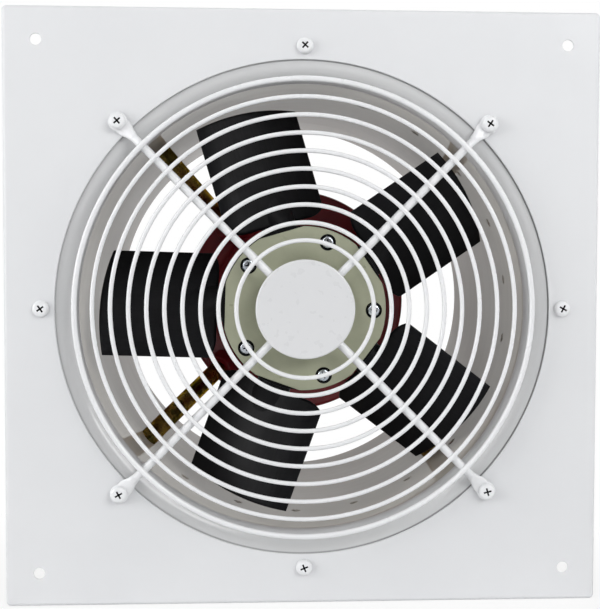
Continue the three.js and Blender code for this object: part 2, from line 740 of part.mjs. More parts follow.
// ---- moving: one blade, drawn upwards, its chord turned by the pitch ----
const pitch = rad(bladePitch);
const halfChord = bladeChord / 2;
const sectionPoint = (share, side) => {
  // share runs from the leading edge, 0, to the trailing edge, 1
  const along = -halfChord + bladeChord * share;
  const hump = -4 * bladeCamber * share * (1 - share);
  const round = Math.sqrt(Math.min(1, share * 9)) * (1 - share * share * 0.72);
  const off = hump + side * (bladeThickness / 2) * (share === 0 ? 0 : round);
  return new THREE.Vector2(
    along * Math.cos(pitch) - off * Math.sin(pitch),
    along * Math.sin(pitch) + off * Math.cos(pitch),
  );
};
const shares = [0, 0.03, 0.11, 0.25, 0.45, 0.65, 0.85, 1];
const front = shares.map((share) => sectionPoint(share, -1));
const back = shares.slice(1).reverse().map((share) => sectionPoint(share, 1));
const section = new THREE.Shape([...front, ...back]);
const bladeBlank = new THREE.ExtrudeGeometry(section, {
  depth: tipRadius - bladeInnerRadius + gap * 20,
  bevelEnabled: false,
  steps: 1,
});
bladeBlank.translate(0, bladeAxisY, bladeInnerRadius);
const halfWidth = halfChord * Math.cos(pitch) + bladeThickness;
const shoulder = halfChord * 0.42;
const plan = new THREE.Shape();
plan.moveTo(-halfWidth + shoulder, bladeInnerRadius);
plan.lineTo(halfWidth - shoulder, bladeInnerRadius);
plan.absarc(halfWidth - shoulder, bladeInnerRadius + shoulder, shoulder, -Math.PI / 2, 0, false);
plan.lineTo(halfWidth, tipRadius * 1.1);
plan.lineTo(-halfWidth, tipRadius * 1.1);
plan.lineTo(-halfWidth, bladeInnerRadius + shoulder);
plan.absarc(-halfWidth + shoulder, bladeInnerRadius + shoulder, shoulder, Math.PI, Math.PI * 1.5, false);
const planBlank = new THREE.ExtrudeGeometry(plan, { depth: bladeChord, bevelEnabled: false, curveSegments: 4 });
planBlank.rotateX(Math.PI / 2).translate(0, bladeAxisY + bladeChord / 2, 0);
const tipSweep = bar(tipRadius, bladeAxisY - bladeChord, bladeAxisY + bladeChord, 72);
const shankBody = join(
  solid(rod(
    shankRadius,
    new THREE.Vector3(0, bladeAxisY, shankInnerRadius),
    new THREE.Vector3(0, bladeAxisY, bladeInnerRadius + shoulder * 0.6),
    12,
  )),
  solid(rod(
    shankCollarRadius,
    new THREE.Vector3(0, bladeAxisY, shankInnerRadius),
    new THREE.Vector3(0, bladeAxisY, shankInnerRadius + shankCollarWidth),
    12,
  )),
);
const rootTaper = new THREE.CylinderGeometry(bladeThickness * 0.5, shankRadius, shoulder * 1.6, 12);
rootTaper.rotateX(Math.PI / 2).translate(0, bladeAxisY, bladeInnerRadius + shoulder * 0.6);
const vane = solid(bladeBlank).intersect(solid(planBlank)).intersect(solid(tipSweep));
const rootTrim = bar(hubClampRadius + gap * 2, depth(0) - plateFold, clampBack + plateFold, 48);
const bladeBody = join(cut(vane, solid(rootTrim)), shankBody, cut(solid(rootTaper), solid(rootTrim)));
const bladeGeometry = surface(bladeBody);

const hubScrewGeometry = surface(
  panScrew(hubScrewHead, hubScrewHeadHeight, hubScrewRadius, hubScrewLength),
);
hubScrewGeometry.translate(0, hubPlateFront + hubScrewHeadHeight - gap, hubScrewCircle);
for (let i = 0; i < bladeCount; i++) {
  const bladeAngle = bladePhase + (i * 360) / bladeCount;
  const screwAngle = hubScrewPhase + (i * 360) / bladeCount;
  hubFront = cut(hubFront, solid(turnedTo(socketGeometry, bladeAngle)));
  hubRear = cut(hubRear, solid(turnedTo(socketGeometry, bladeAngle)));
  hubPlate = cut(hubPlate, solid(turnedTo(counterbore, screwAngle)), solid(turnedTo(hubScrewHole, screwAngle)));
  hubFront = cut(hubFront, solid(turnedTo(hubScrewHole, screwAngle)));
  hubRear = cut(hubRear, solid(turnedTo(hubScrewHole, screwAngle)));
  place(`blade_${i + 1}`, bladeGeometry, { ...blackNylon }, impeller, bladeAngle);
  place(`hub_screw_${i + 1}`, hubScrewGeometry, { ...zinc }, impeller, screwAngle);
}
place('hub_front_plate', surface(hubPlate), { ...hubGrey }, impeller);
place('hub_clamp_front', surface(hubFront), { ...blackNylon }, impeller);
place('hub_clamp_rear', surface(hubRear), { ...blackNylon }, impeller);
place('hub_set_screw', surface(solid(setScrew)), { ...zinc }, impeller);

export default group;
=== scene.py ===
# %% [markdown]
# A window exhaust fan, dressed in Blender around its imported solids.
# The solids already have the right places and sizes, so this file only gives each visible
# piece a finer mesh and a finish of its own, sets the camera and lights the scene.
# Every mesh is drawn in millimetres with the fan's axis along Y, as in the source of the part,
# and is brought to metres when it is finished.

import math

import bmesh
import bpy
from bmesh.types import BMEdge, BMFace, BMVert
from mathutils import Matrix, Quaternion, Vector


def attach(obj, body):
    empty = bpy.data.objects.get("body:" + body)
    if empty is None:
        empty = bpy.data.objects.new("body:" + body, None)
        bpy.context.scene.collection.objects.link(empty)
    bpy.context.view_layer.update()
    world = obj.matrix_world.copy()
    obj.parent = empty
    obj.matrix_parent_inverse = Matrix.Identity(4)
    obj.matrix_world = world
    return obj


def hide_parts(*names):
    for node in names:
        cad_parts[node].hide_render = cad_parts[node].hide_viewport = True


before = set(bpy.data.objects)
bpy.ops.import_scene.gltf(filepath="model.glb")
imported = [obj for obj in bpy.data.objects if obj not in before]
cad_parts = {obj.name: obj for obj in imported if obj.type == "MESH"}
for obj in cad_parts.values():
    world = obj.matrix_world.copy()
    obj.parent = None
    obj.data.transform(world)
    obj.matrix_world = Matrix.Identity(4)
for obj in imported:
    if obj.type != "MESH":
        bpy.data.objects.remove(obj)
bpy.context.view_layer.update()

# %% [markdown]
# The camera stands a little to the left of the fan's axis and a little above it, three quarters
# of a metre away, and looks at the middle of the plate. A camera could be placed by eye, but here
# its place was worked out from the known places of the holes and screws, so the round rims fall
# where they should. The look direction is turned into a rotation with to_track_quat, and a
# tenth of a degree of roll is added about the camera's own axis. Lamps are aimed the same way, so
# one helper puts a thing into the scene and another points it.

# %% Camera
def linked(name, data):
    thing = bpy.data.objects.new(name, data)
    bpy.context.scene.collection.objects.link(thing)
    return thing


def aimed(thing, place, aim, roll=0.0):
    """Puts a camera or lamp at a place, looking at another, rolled by some degrees."""
    look = (Vector(aim) - Vector(place)).to_track_quat("-Z", "Y")
    thing.location = place
    thing.rotation_mode = "QUATERNION"
    thing.rotation_quaternion = look @ Quaternion((0, 0, 1), math.radians(roll))


CAMERA_PLACE = (-0.03808, -0.744, 0.02908)
CAMERA_AIM = (-0.00326, -0.015, 0.00302)

camera_data = bpy.data.cameras.new("camera")
camera_data.lens = 60.06
camera_data.sensor_width = 36.0
camera_data.clip_start = 0.01
camera_data.clip_end = 20.0
camera = linked("camera", camera_data)
aimed(camera, CAMERA_PLACE, CAMERA_AIM, roll=0.10)
bpy.context.scene.camera = camera
print("camera to plate:", round(math.dist(CAMERA_PLACE, CAMERA_AIM), 3), "m")

# %% [markdown]
# Finishes are node trees. Writing them link by link is long, so three small classes help: Socket
# wraps one output and lets Python's own + - * build the Math nodes, Nodes holds one tree and adds
# any other node with one method, and Finish is the tree of one material and feeds its shader.
# Patterns are laid out in Object coordinates, which stay with a piece when it turns.

# %% Sockets that can be added and multiplied
class Socket:
    def __init__(self, nodes, out):
        self.nodes = nodes
        self.out = out

    def math(self, operation, *values):
        return self.nodes.node("ShaderNodeMath", {"operation": operation}, dict(enumerate(values)))

    def __add__(self, other):
        return self.math("ADD", self, other)

    def __radd__(self, other):
        return self.math("ADD", other, self)

    def __sub__(self, other):
        return self.math("SUBTRACT", self, other)

    def __rsub__(self, other):
        return self.math("SUBTRACT", other, self)

    def __mul__(self, other):
        return self.math("MULTIPLY", self, other)

    def __rmul__(self, other):
        return self.math("MULTIPLY", other, self)


print("socket helper ready")

# %% One tree of nodes
class Nodes:
    def __init__(self, tree):
        self.tree = tree

    def feed(self, socket, value):
        if isinstance(value, Socket):
            self.tree.links.new(value.out, socket)
        else:
            socket.default_value = value

    def node(self, kind, settings=None, values=None, output=0):
        made = self.tree.nodes.new(kind)
        for name, setting in (settings or {}).items():
            if name == "stops":
                ramp = made.color_ramp
                while len(ramp.elements) < len(setting):
                    ramp.elements.new(1.0)
                for stop, (place, colour) in zip(ramp.elements, setting):
                    stop.position = place
                    stop.color = (*colour, 1.0)
            else:
                setattr(made, name, setting)
        for name, value in (values or {}).items():
            self.feed(made.inputs[name], value)
        return Socket(self, made.outputs[output])

    def vector(self, operation, *values, output=0):
        settings = {"operation": operation}
        return self.node("ShaderNodeVectorMath", settings, dict(enumerate(values)), output)

    def between(self, value, low, high, out_low=0.0, out_high=1.0):
        values = {"Value": value, "From Min": low, "From Max": high}
        values.update({"To Min": out_low, "To Max": out_high})
        return self.node("ShaderNodeMapRange", {}, values)

    def ray(self, kind):
        return self.node("ShaderNodeLightPath", output=f"Is {kind} Ray")


print("tree helper ready")

# %% One material and its shader
class Finish(Nodes):
    def __init__(self, name, **constants):
        self.material = bpy.data.materials.new(name)
        self.material.use_nodes = True
        super().__init__(self.material.node_tree)
        self.shader = self.tree.nodes["Principled BSDF"]
        for socket, value in constants.items():
            self.shader.inputs[socket.replace("_", " ")].default_value = value

    def place(self):
        return self.node("ShaderNodeTexCoord", output="Object")

    def noise(self, scale, detail=2.0, roughness=0.5, stretch=(1, 1, 1)):
        laid_out = {"Vector": self.place(), "Scale": stretch}
        values = {"Vector": self.node("ShaderNodeMapping", {}, laid_out), "Scale": scale}
        values.update({"Detail": detail, "Roughness": roughness})
        return self.node("ShaderNodeTexNoise", {}, values)

    def mix(self, share, first, second):
        values = {0: share, 6: (*first, 1.0) if isinstance(first, tuple) else first}
        values[7] = (*second, 1.0) if isinstance(second, tuple) else second
        return self.node("ShaderNodeMix", {"data_type": "RGBA"}, values, output=2)

    def surface(self, socket, value):
        self.feed(self.shader.inputs[socket], value)

    def bump(self, height, distance, strength):
        values = {"Height": height, "Distance": distance, "Strength": strength}
        self.surface("Normal", self.node("ShaderNodeBump", {}, values))


print("material helpers ready")

# %% [markdown]
# The plate wears a white powder coat. Cured powder isn't glass smooth: it has the fine skin of an
# orange, about a millimetre across and a few hundredths deep, and its gloss changes a little over
# a hand's width. Noise gives both: a fine one drives the bump, and a broad one shifts colour and
# roughness by a hair. A plain white would look like paper instead.

# %% White powder coat
def powder_coat(name, light, dark):
    coat = Finish(name, IOR=1.5)
    broad = coat.noise(9.0, detail=3.0)
    skin = coat.noise(900.0, detail=2.0, roughness=0.45)
    coat.surface("Base Color", coat.mix(coat.between(broad, 0.3, 0.7), dark, light))
    coat.surface("Roughness", coat.between(broad, 0.3, 0.7, 0.45, 0.36))
    coat.bump(skin, 0.00008, 0.35)
    return coat.material


white_coat = powder_coat("white_coat", (0.762, 0.770, 0.784), (0.728, 0.737, 0.753))
print("coat:", white_coat.name)

# %% [markdown]
# The mouth and casing were painted wet and are glossier, so a clear coat lies over their colour.
# The casing's inside is seen at a low angle, where a clear coat mirrors the white behind the fan.
# There the coat's weight sets much of the tone, and the inside wears a weaker coat over a darker
# colour, a painted shade for the inside of the duct; the casing's outside has a lighter coat of its
# own.
# A thin painted shade lies along the seam where the mouth meets the plate's opening, darker towards
# +X.

# %% Gloss coats
PLATE_SEAM = 0.1778  # just inside the plate's opening, in metres
SEAM_WIDTH = 0.0003  # to each side, full painted shade
SEAM_FADE = 0.0009  # to each side, where the painted shade fades out
SEAM_SHADE = (0.13, 0.13, 0.135)


def gloss_coat(name, light, dark, seam=None, shine=0.8, under=0.25):
    coat = Finish(name, IOR=1.5, Specular_IOR_Level=under, Coat_Roughness=0.05, Coat_IOR=1.5)
    broad = coat.noise(7.0, detail=3.0)
    waves = coat.noise(5.0, detail=3.0, stretch=(1, 22, 1))
    skin = coat.noise(520.0, detail=2.0, roughness=0.4)
    shade = coat.mix(coat.between(broad + 0.4 * (waves - 0.5), 0.3, 0.7), dark, light)
    if seam:
        place = coat.place()
        flat = coat.vector("MULTIPLY", place, (1.0, 0.0, 1.0))
        off = coat.vector("LENGTH", flat, output="Value") - seam
        near = coat.between(off.math("ABSOLUTE", off), SEAM_WIDTH, SEAM_FADE, 1.0, 0.0)
        across = coat.node("ShaderNodeSeparateXYZ", {}, {0: place})
        # painted shade in the gap of the seam, stronger towards +X, as the light falls
        seam_shade = near * coat.between(across, -seam, seam, 0.20, 0.80)
        shade = coat.mix(seam_shade, shade, SEAM_SHADE)
    coat.surface("Base Color", shade)
    coat.surface("Roughness", coat.between(broad, 0.3, 0.7, 0.34, 0.26))
    coat.surface("Coat Weight", coat.between(broad, 0.3, 0.7, shine - 0.1, shine + 0.1))
    coat.bump(skin, 0.00003, 0.3)
    return coat.material


mouth_coat = gloss_coat("mouth_coat", (0.67, 0.675, 0.68), (0.63, 0.635, 0.64), seam=PLATE_SEAM)
# casing_coat is darker than shell_coat, the outside's: painted shade for the inside of the duct
casing_coat = gloss_coat(
    "casing_coat", (0.520, 0.488, 0.438), (0.455, 0.427, 0.383), shine=0.54, under=0.0
)
shell_coat = gloss_coat("shell_coat", (0.64, 0.63, 0.61), (0.60, 0.59, 0.57))
print("coats:", mouth_coat.name, casing_coat.name, shell_coat.name)

# %% [markdown]
# The guard is dipped in a thicker, glossier white plastic coat that runs a little on the wires.
# A clear coat on top of the base gives the sharper highlight, and a slow noise makes the wires
# very slightly uneven. The disc is flat, so its coat hardly runs, and the white screws are a
# little brighter.

# %% Glossy guard coat
def dipped_coat(name, light, dark, depth=0.00025):
    coat = Finish(name, Coat_Roughness=0.12, IOR=1.5)
    runs = coat.noise(140.0, detail=2.0)
    coat.surface("Base Color", coat.mix(runs, dark, light))
    coat.surface("Roughness", coat.between(runs, 0.3, 0.7, 0.34, 0.26))
    coat.surface("Coat Weight", coat.between(runs, 0.3, 0.7, 0.25, 0.45))
    coat.bump(runs, depth, 0.4)
    return coat.material


guard_coat = dipped_coat("guard_coat", (0.835, 0.841, 0.853), (0.805, 0.812, 0.827))
disc_coat = dipped_coat("disc_coat", (0.705, 0.711, 0.723), (0.700, 0.706, 0.718), depth=0.00002)
screw_coat = dipped_coat("screw_coat", (0.845, 0.852, 0.865), (0.80, 0.808, 0.822))
print("coats:", guard_coat.name, disc_coat.name, screw_coat.name)

# %% [markdown]
# Three metals: bright zinc on the small screws, yellow passivated zinc on the arms, and turned
# steel on the shaft. The yellow film is thin, so its colour wanders between gold, olive and
# brown. A ramp over a noise gives those patches, and a noise stretched round the axis gives the
# shaft its turning marks.

# %% Metals
def plated(name, stops, scale, gloss, stretch=(1, 1, 1), rim=(1, 1, 1)):
    metal = Finish(name, Metallic=1.0, Specular_Tint=(*rim, 1.0))
    patches = metal.noise(scale, detail=4.0, roughness=0.6, stretch=stretch)
    grain = metal.noise(2600.0, detail=1.0)
    metal.surface("Base Color", metal.node("ShaderNodeValToRGB", {"stops": stops}, {0: patches}))
    metal.surface("Roughness", metal.between(patches, 0.3, 0.7, gloss + 0.08, gloss - 0.05))
    metal.bump(grain, 0.00004, 0.3)
    return metal.material


bright_zinc = plated(
    "bright_zinc",
    [(0.30, (0.62, 0.68, 0.76)), (0.50, (0.78, 0.82, 0.88)), (0.70, (0.90, 0.92, 0.95))],
    170.0,
    0.24,
)
yellow_zinc = plated(
    "yellow_zinc",
    [
        (0.30, (0.095, 0.050, 0.024)),
        (0.42, (0.230, 0.135, 0.048)),
        (0.52, (0.560, 0.400, 0.110)),
        (0.60, (0.190, 0.170, 0.045)),
        (0.70, (0.120, 0.068, 0.034)),
    ],
    46.0,
    0.27,
    rim=(0.22, 0.15, 0.05),
)
turned_steel = plated(
    "turned_steel",
    [(0.30, (0.42, 0.43, 0.44)), (0.70, (0.58, 0.59, 0.60))],
    60.0,
    0.30,
    stretch=(1, 14, 1),
)
print("metals:", bright_zinc.name, yellow_zinc.name, turned_steel.name)

# %% [markdown]
# The motor is sprayed dark red, and the blades and hub halves are black glass-filled nylon. Nylon
# with glass in it is never quite black or quite smooth: the fibres come near the skin as a fine
# grain, and the gloss drops in patches. The same function with hardly any shine gives the painted
# shade in a screw's cross recess and round a counterbore.

# %% Enamel and nylon
def enamel(name, light, dark):
    paint = Finish(name, Coat_Roughness=0.14, Coat_Weight=0.35)
    cloud = paint.noise(26.0, detail=4.0)
    skin = paint.noise(700.0, detail=2.0)
    paint.surface("Base Color", paint.mix(paint.between(cloud, 0.3, 0.7), dark, light))
    paint.surface("Roughness", paint.between(cloud, 0.3, 0.7, 0.46, 0.34))
    paint.bump(skin, 0.00012, 0.5)
    return paint.material


def nylon(name, light, dark, gloss, lines=0.0, shine=0.35):
    plastic = Finish(name, IOR=1.5, Specular_IOR_Level=shine)
    cloud = plastic.noise(16.0, detail=4.0, roughness=0.6)
    fibre = plastic.noise(1500.0, detail=3.0, roughness=0.7)
    brushed = plastic.noise(55.0, detail=3.0, roughness=0.7, stretch=(1, 26, 1))
    worn = plastic.between(cloud + lines * (brushed - 0.5), 0.32, 0.68)
    plastic.surface("Base Color", plastic.mix(worn, dark, light))
    plastic.surface("Roughness", plastic.between(worn, 0.0, 1.0, gloss + 0.08, gloss - 0.08))
    plastic.bump(fibre + lines * brushed, 0.00012, 0.6)
    return plastic.material


red_coat = enamel("red_coat", (0.330, 0.010, 0.020), (0.230, 0.007, 0.014))
black_nylon = nylon(
    "black_nylon", (0.0100, 0.0100, 0.0115), (0.0040, 0.0040, 0.0048), 0.42, lines=0.5, shine=0.12
)
black_gland = nylon("black_gland", (0.020, 0.020, 0.021), (0.013, 0.013, 0.014), 0.40)
recess_shade = nylon("recess_shade", (0.009, 0.009, 0.010), (0.006, 0.006, 0.007), 0.60, shine=0.1)
print("paints:", red_coat.name, black_nylon.name, black_gland.name, recess_shade.name)

# %% [markdown]
# The hub's front plate is a casting with a dull greenish grey finish. Blasting leaves an even
# fine grain, which is bump alone, and a trace of metal keeps it from looking like plastic.

# %% Cast hub plate
def casting(name, light, dark):
    skin = Finish(name, IOR=1.5, Metallic=0.12)
    cloud = skin.noise(38.0, detail=5.0, roughness=0.6)
    blast = skin.noise(1300.0, detail=3.0, roughness=0.65)
    skin.surface("Base Color", skin.mix(skin.between(cloud, 0.3, 0.7), dark, light))
    skin.surface("Roughness", skin.between(cloud, 0.3, 0.7, 0.58, 0.46))
    skin.bump(blast, 0.00010, 0.5)
    return skin.material


hub_grey = casting("hub_grey", (0.468, 0.482, 0.352), (0.410, 0.423, 0.307))
print("casting:", hub_grey.name)

# %% [markdown]
# Most pieces are round, so one helper turns a profile of radius and height about Y with the spin
# operator. An arc of points gives a profile its rounded corners, and a place on a circle round
# the fan's axis is given by its radius and its angle from +X.

# %% Profiles and turning
MM = 0.001
FACE = -15.0  # the plate's face, in millimetres
GAP = 0.3  # play between pieces that lie on each other


def arc(centre, radius, start, end, steps):
    turns = [math.radians(start + (end - start) * i / steps) for i in range(steps + 1)]
    return [(centre[0] + radius * math.cos(t), centre[1] + radius * math.sin(t)) for t in turns]


def around(radius, degrees):
    """The place (x, z) on a circle round the fan's axis."""
    turn = math.radians(degrees)
    return radius * math.cos(turn), radius * math.sin(turn)


def of_kind(geom, kind):
    return [g for g in geom if isinstance(g, kind)]


def spun(bm, geom, centre, steps, angle=math.tau):
    """Spins about Y through (x, z), and returns what lies at the far end of a part turn."""
    made = bmesh.ops.spin(
        bm,
        geom=geom,
        cent=(centre[0], 0, centre[1]),
        axis=(0, 1, 0),
        dvec=(0, 0, 0),
        angle=angle,
        steps=steps,
        use_merge=angle == math.tau,
        use_normal_flip=False,
        use_duplicate=False,
    )
    return made["geom_last"]


def turned(bm, profile, steps, centre=(0.0, 0.0), closed=False):
    """Turns a profile of (radius, y) all round, and returns the new points."""
    before = set(bm.verts)
    verts = [bm.verts.new((centre[0] + radius, y, centre[1])) for radius, y in profile]
    edges = [bm.edges.new(pair) for pair in zip(verts, verts[1:])]
    if closed:
        edges.append(bm.edges.new((verts[-1], verts[0])))
    spun(bm, verts + edges, centre, steps)
    return [v for v in bm.verts if v not in before]


print("the plate's face is at y", FACE, "mm")

# %% [markdown]
# Other pieces are sheets, so a helper gives an open profile its thickness and rounds its two
# edges, as a cut and coated edge is. Pieces that repeat round the fan are drawn once above the
# axis and turned to their angle. The bevel operator's defaults differ from the editor's, so its
# settings are written out once.

# %% Sheets, places and softened edges
def sheet(path, thickness):
    """A closed profile: the path, a second path to its right, and a rounded edge at each end."""
    points = [Vector(p) for p in path]
    sides = []
    for i in range(len(points)):
        along = (points[min(i + 1, len(points) - 1)] - points[max(i - 1, 0)]).normalized()
        sides.append(Vector((along.y, -along.x)))
    far = [p + side * thickness for p, side in zip(points, sides)]

    def nose(near, side, outward):
        middle = near + side * thickness / 2
        half = thickness / 2
        return [
            middle + (-side * math.cos(t) + outward * math.sin(t)) * half
            for t in (math.radians(45), math.radians(90), math.radians(135))
        ]

    start = nose(points[0], sides[0], (points[0] - points[1]).normalized())
    end = nose(points[-1], sides[-1], (points[-1] - points[-2]).normalized())
    return [tuple(p) for p in points + end + far[::-1] + start[::-1]]


def turned_to(bm, degrees, verts=None):
    turn = Matrix.Rotation(math.radians(90 - degrees), 3, "Y")
    bmesh.ops.rotate(bm, cent=(0, 0, 0), matrix=turn, verts=verts or bm.verts)


def laid(place, degrees=90, axis="X"):
    """Turns a piece about an axis through its own origin and carries it to a place."""
    return Matrix.Translation(place) @ Matrix.Rotation(math.radians(degrees), 4, axis)


def softened(bm, edges, offset, segments):
    bmesh.ops.bevel(
        bm,
        geom=edges,
        offset=offset,
        segments=segments,
        profile=0.5,
        affect="EDGES",
        clamp_overlap=True,
        material=-1,
    )


print("a straight sheet's profile:", len(sheet([(0, 0), (9, 0)], 1.5)), "points")

# %% [markdown]
# A finished piece sits at the origin with its place in its mesh. The last helper merges doubles,
# points the faces outwards, brings millimetres to metres and marks edges sharper than a set
# angle. Weighted normals then keep the large flats flat up to their roundings. Last, the piece is
# tied to the body it moves with, and the solid it stands for is hidden.

# %% Finishing a piece
def finished(bm, name, body, material, nodes=(), slot=None, sharp=32, merge=0.002):
    bmesh.ops.remove_doubles(bm, verts=bm.verts, dist=merge)
    bmesh.ops.recalc_face_normals(bm, faces=bm.faces)
    bmesh.ops.scale(bm, vec=(MM, MM, MM), verts=bm.verts)
    mesh = bpy.data.meshes.new(name)
    bm.to_mesh(mesh)
    bm.free()
    mesh.shade_smooth()
    mesh.set_sharp_from_angle(angle=math.radians(sharp))
    for one in material if isinstance(material, tuple) else (material,):
        mesh.materials.append(one)
    piece = linked(name, mesh)
    even = piece.modifiers.new("even_normals", "WEIGHTED_NORMAL")
    even.keep_sharp = True
    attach(piece, body)
    if nodes:
        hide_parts(*nodes)
    print(name, "faces", len(mesh.polygons))


# %% [markdown]
# The wall plate is one folded sheet. Its rim is a section swept round a rounded square: straight
# runs are extruded and corners are spun, which is how a press brake and a die would see it. Each
# hole has a softened edge of its own, spun about the hole. The flat front and back between all
# these loops are then filled at once, so every hole is real.

# %% Wall plate: the folded rim
PLATE_HALF = 214.0
FOLD = 3.0  # outer radius of the fold
CORNER = 0.5  # of the flat face, inside the folds
SHEET = 1.5
CUT_EDGE = 0.4  # rounding of the sheet's edge at the wall
LAP = 0.3  # how far the section reaches in over the flat


def drawn_on(bm, edges):
    """Extrudes a line of edges, and returns the points and edges of its new end."""
    made = bmesh.ops.extrude_edge_only(bm, edges=edges)["geom"]
    verts = of_kind(made, BMVert)
    fresh = set(verts)
    return verts, [e for e in of_kind(made, BMEdge) if set(e.verts) <= fresh]


def swept_rim(bm, half, corner, section):
    """The section is (distance beyond the flat's edge, y). It goes once round a rounded square."""
    run = half - corner
    verts = [bm.verts.new((half + out, y, -run)) for out, y in section]
    edges = [bm.edges.new(pair) for pair in zip(verts, verts[1:])]
    directions = [(0, 1), (-1, 0), (0, -1), (1, 0)]
    corners = [(run, run), (-run, run), (-run, -run), (run, -run)]
    for (dx, dz), (cx, cz) in zip(directions, corners):
        verts, edges = drawn_on(bm, edges)
        bmesh.ops.translate(bm, vec=(dx * run * 2, 0, dz * run * 2), verts=verts)
        last = spun(bm, verts + edges, (cx, cz), 10, angle=-math.pi / 2)
        edges = of_kind(last, BMEdge)


inner_fold = FOLD - SHEET
fold_section = [(-LAP, FACE)] + arc((0, FACE + FOLD), FOLD, -90, 0, 8)
fold_section += arc((FOLD - CUT_EDGE, -CUT_EDGE), CUT_EDGE, 0, 90, 3)
fold_section += arc((inner_fold + CUT_EDGE, -CUT_EDGE), CUT_EDGE, 90, 180, 3)
fold_section += arc((0, FACE + FOLD), inner_fold, 0, -90, 6) + [(-LAP, FACE + SHEET)]
print("fold section:", len(fold_section), "points")

# %% Wall plate: holes and flats
def softened_hole(radius, front, back, edge):
    """The profile of a hole's wall, from the flat in front round to the flat behind."""
    points = [(radius + edge * 2, front)]
    points += arc((radius + edge, front + edge), edge, 270, 180, 3)
    points += arc((radius + edge, back - edge), edge, 180, 90, 3)
    points += [(radius + edge * 2, back)]
    return points


def in_flat(things, y):
    """Those of some edges or faces that lie in the flat at height y."""
    return [g for g in things if all(abs(v.co.y - y) < 0.001 for v in g.verts)]


def filled_flat(bm, y, normal=(0, -1, 0)):
    """Fills the flat at height y between all the open loops that lie in it."""
    loops = [e for e in in_flat(bm.edges, y) if e.is_boundary]
    bmesh.ops.triangle_fill(bm, use_beauty=True, use_dissolve=False, edges=loops, normal=normal)


PLATE_BACK = FACE + SHEET
THROAT = 163.0  # inner radius of the duct
MOUTH_ROLL = 15.0  # from the throat out to the plate's opening
SCREW_CIRCLE = 187.5
SCREW_TURNS = [45 * i for i in range(8)]
WALL_HOLE_AT = 190.0  # from the axis, along X and along Z

bm = bmesh.new()
swept_rim(bm, PLATE_HALF - FOLD, CORNER, fold_section)
turned(bm, softened_hole(THROAT + MOUTH_ROLL, FACE, PLATE_BACK, 0.5), 180)
for x in (-WALL_HOLE_AT, WALL_HOLE_AT):
    for z in (-WALL_HOLE_AT, WALL_HOLE_AT):
        turned(bm, softened_hole(4.0, FACE, PLATE_BACK, 0.4), 32, centre=(x, z))
for turn in SCREW_TURNS:
    hole = softened_hole(3.3, FACE, PLATE_BACK, 0.3)
    turned(bm, hole, 20, centre=around(SCREW_CIRCLE, turn))
bmesh.ops.remove_doubles(bm, verts=bm.verts, dist=0.002)
filled_flat(bm, FACE)
filled_flat(bm, PLATE_BACK, (0, 1, 0))
finished(bm, "plate_sheet", "housing", white_coat, ["wall_plate"], "white_coat", sharp=40)

# %% [markdown]
# The mouth ring is spun sheet: a flat flange behind the plate, a rolled lip shaped as a quarter
# of an ellipse, and a straight collar. Its path is written once and given its thickness, and
# then turned. Fine steps round the lip keep its soft gradient free of facets. The collar is seen
# as part of the casing's inside, so from the wall backwards it wears the casing's inside coat,
# whose darker colour is painted shade.

# %% Mouth ring
FLANGE_FRONT = PLATE_BACK + GAP
FLANGE_EDGE = 197.0
ROLL_DEPTH = 13.2
roll_points = [
    (THROAT + MOUTH_ROLL * (1 - sine), FLANGE_FRONT + ROLL_DEPTH * (1 - cosine))
    for cosine, sine in arc((0, 0), 1.0, 0, 90, 18)
]
mouth_path = [(FLANGE_EDGE, FLANGE_FRONT), (180.0, FLANGE_FRONT)] + roll_points
mouth_path += [(THROAT, y) for y in (2.0, 12.0, 50.0, 71.8, 72.2)]
bm = bmesh.new()
turned(bm, sheet(mouth_path, SHEET), 192, closed=True)
# faces behind the wall take the casing's inside coat, its darker colour painted shade
for face in bm.faces:
    face.material_index = int(face.calc_center_median().y > 0.0)
coats = (mouth_coat, casing_coat)
finished(bm, "mouth_sheet", "housing", coats, ["mouth_ring"], "white_coat", sharp=40)

# %% [markdown]
# Behind the plate eight nuts are pressed into the flange for the screws. A nut is a six-sided
# bar with its corners broken, so it starts as a circle of six points, is extruded and bevelled.

# %% Pressed nuts
NUT_START = FLANGE_FRONT + SHEET - 0.1
NUT_END = FLANGE_FRONT + SHEET + 7.0


def hexagon(bm, radius, y0, y1, centre=(0.0, 0.0), soften=0.5):
    """A six-sided bar along Y with softened edges, centred at (x, z)."""
    lie = laid((centre[0], y0, centre[1]))
    base = bmesh.ops.create_circle(bm, cap_ends=True, segments=6, radius=radius, matrix=lie)
    face = next(iter({f for v in base["verts"] for f in v.link_faces}))
    verts = of_kind(bmesh.ops.extrude_face_region(bm, geom=[face])["geom"], BMVert)
    bmesh.ops.translate(bm, vec=(0, y1 - y0, 0), verts=verts)
    softened(bm, list({e for v in base["verts"] + verts for e in v.link_edges}), soften, 2)


bm = bmesh.new()
for turn in SCREW_TURNS:
    hexagon(bm, 5.4, NUT_START, NUT_END, around(SCREW_CIRCLE, turn))
finished(bm, "pressed_nuts", "housing", bright_zinc, slot="zinc")
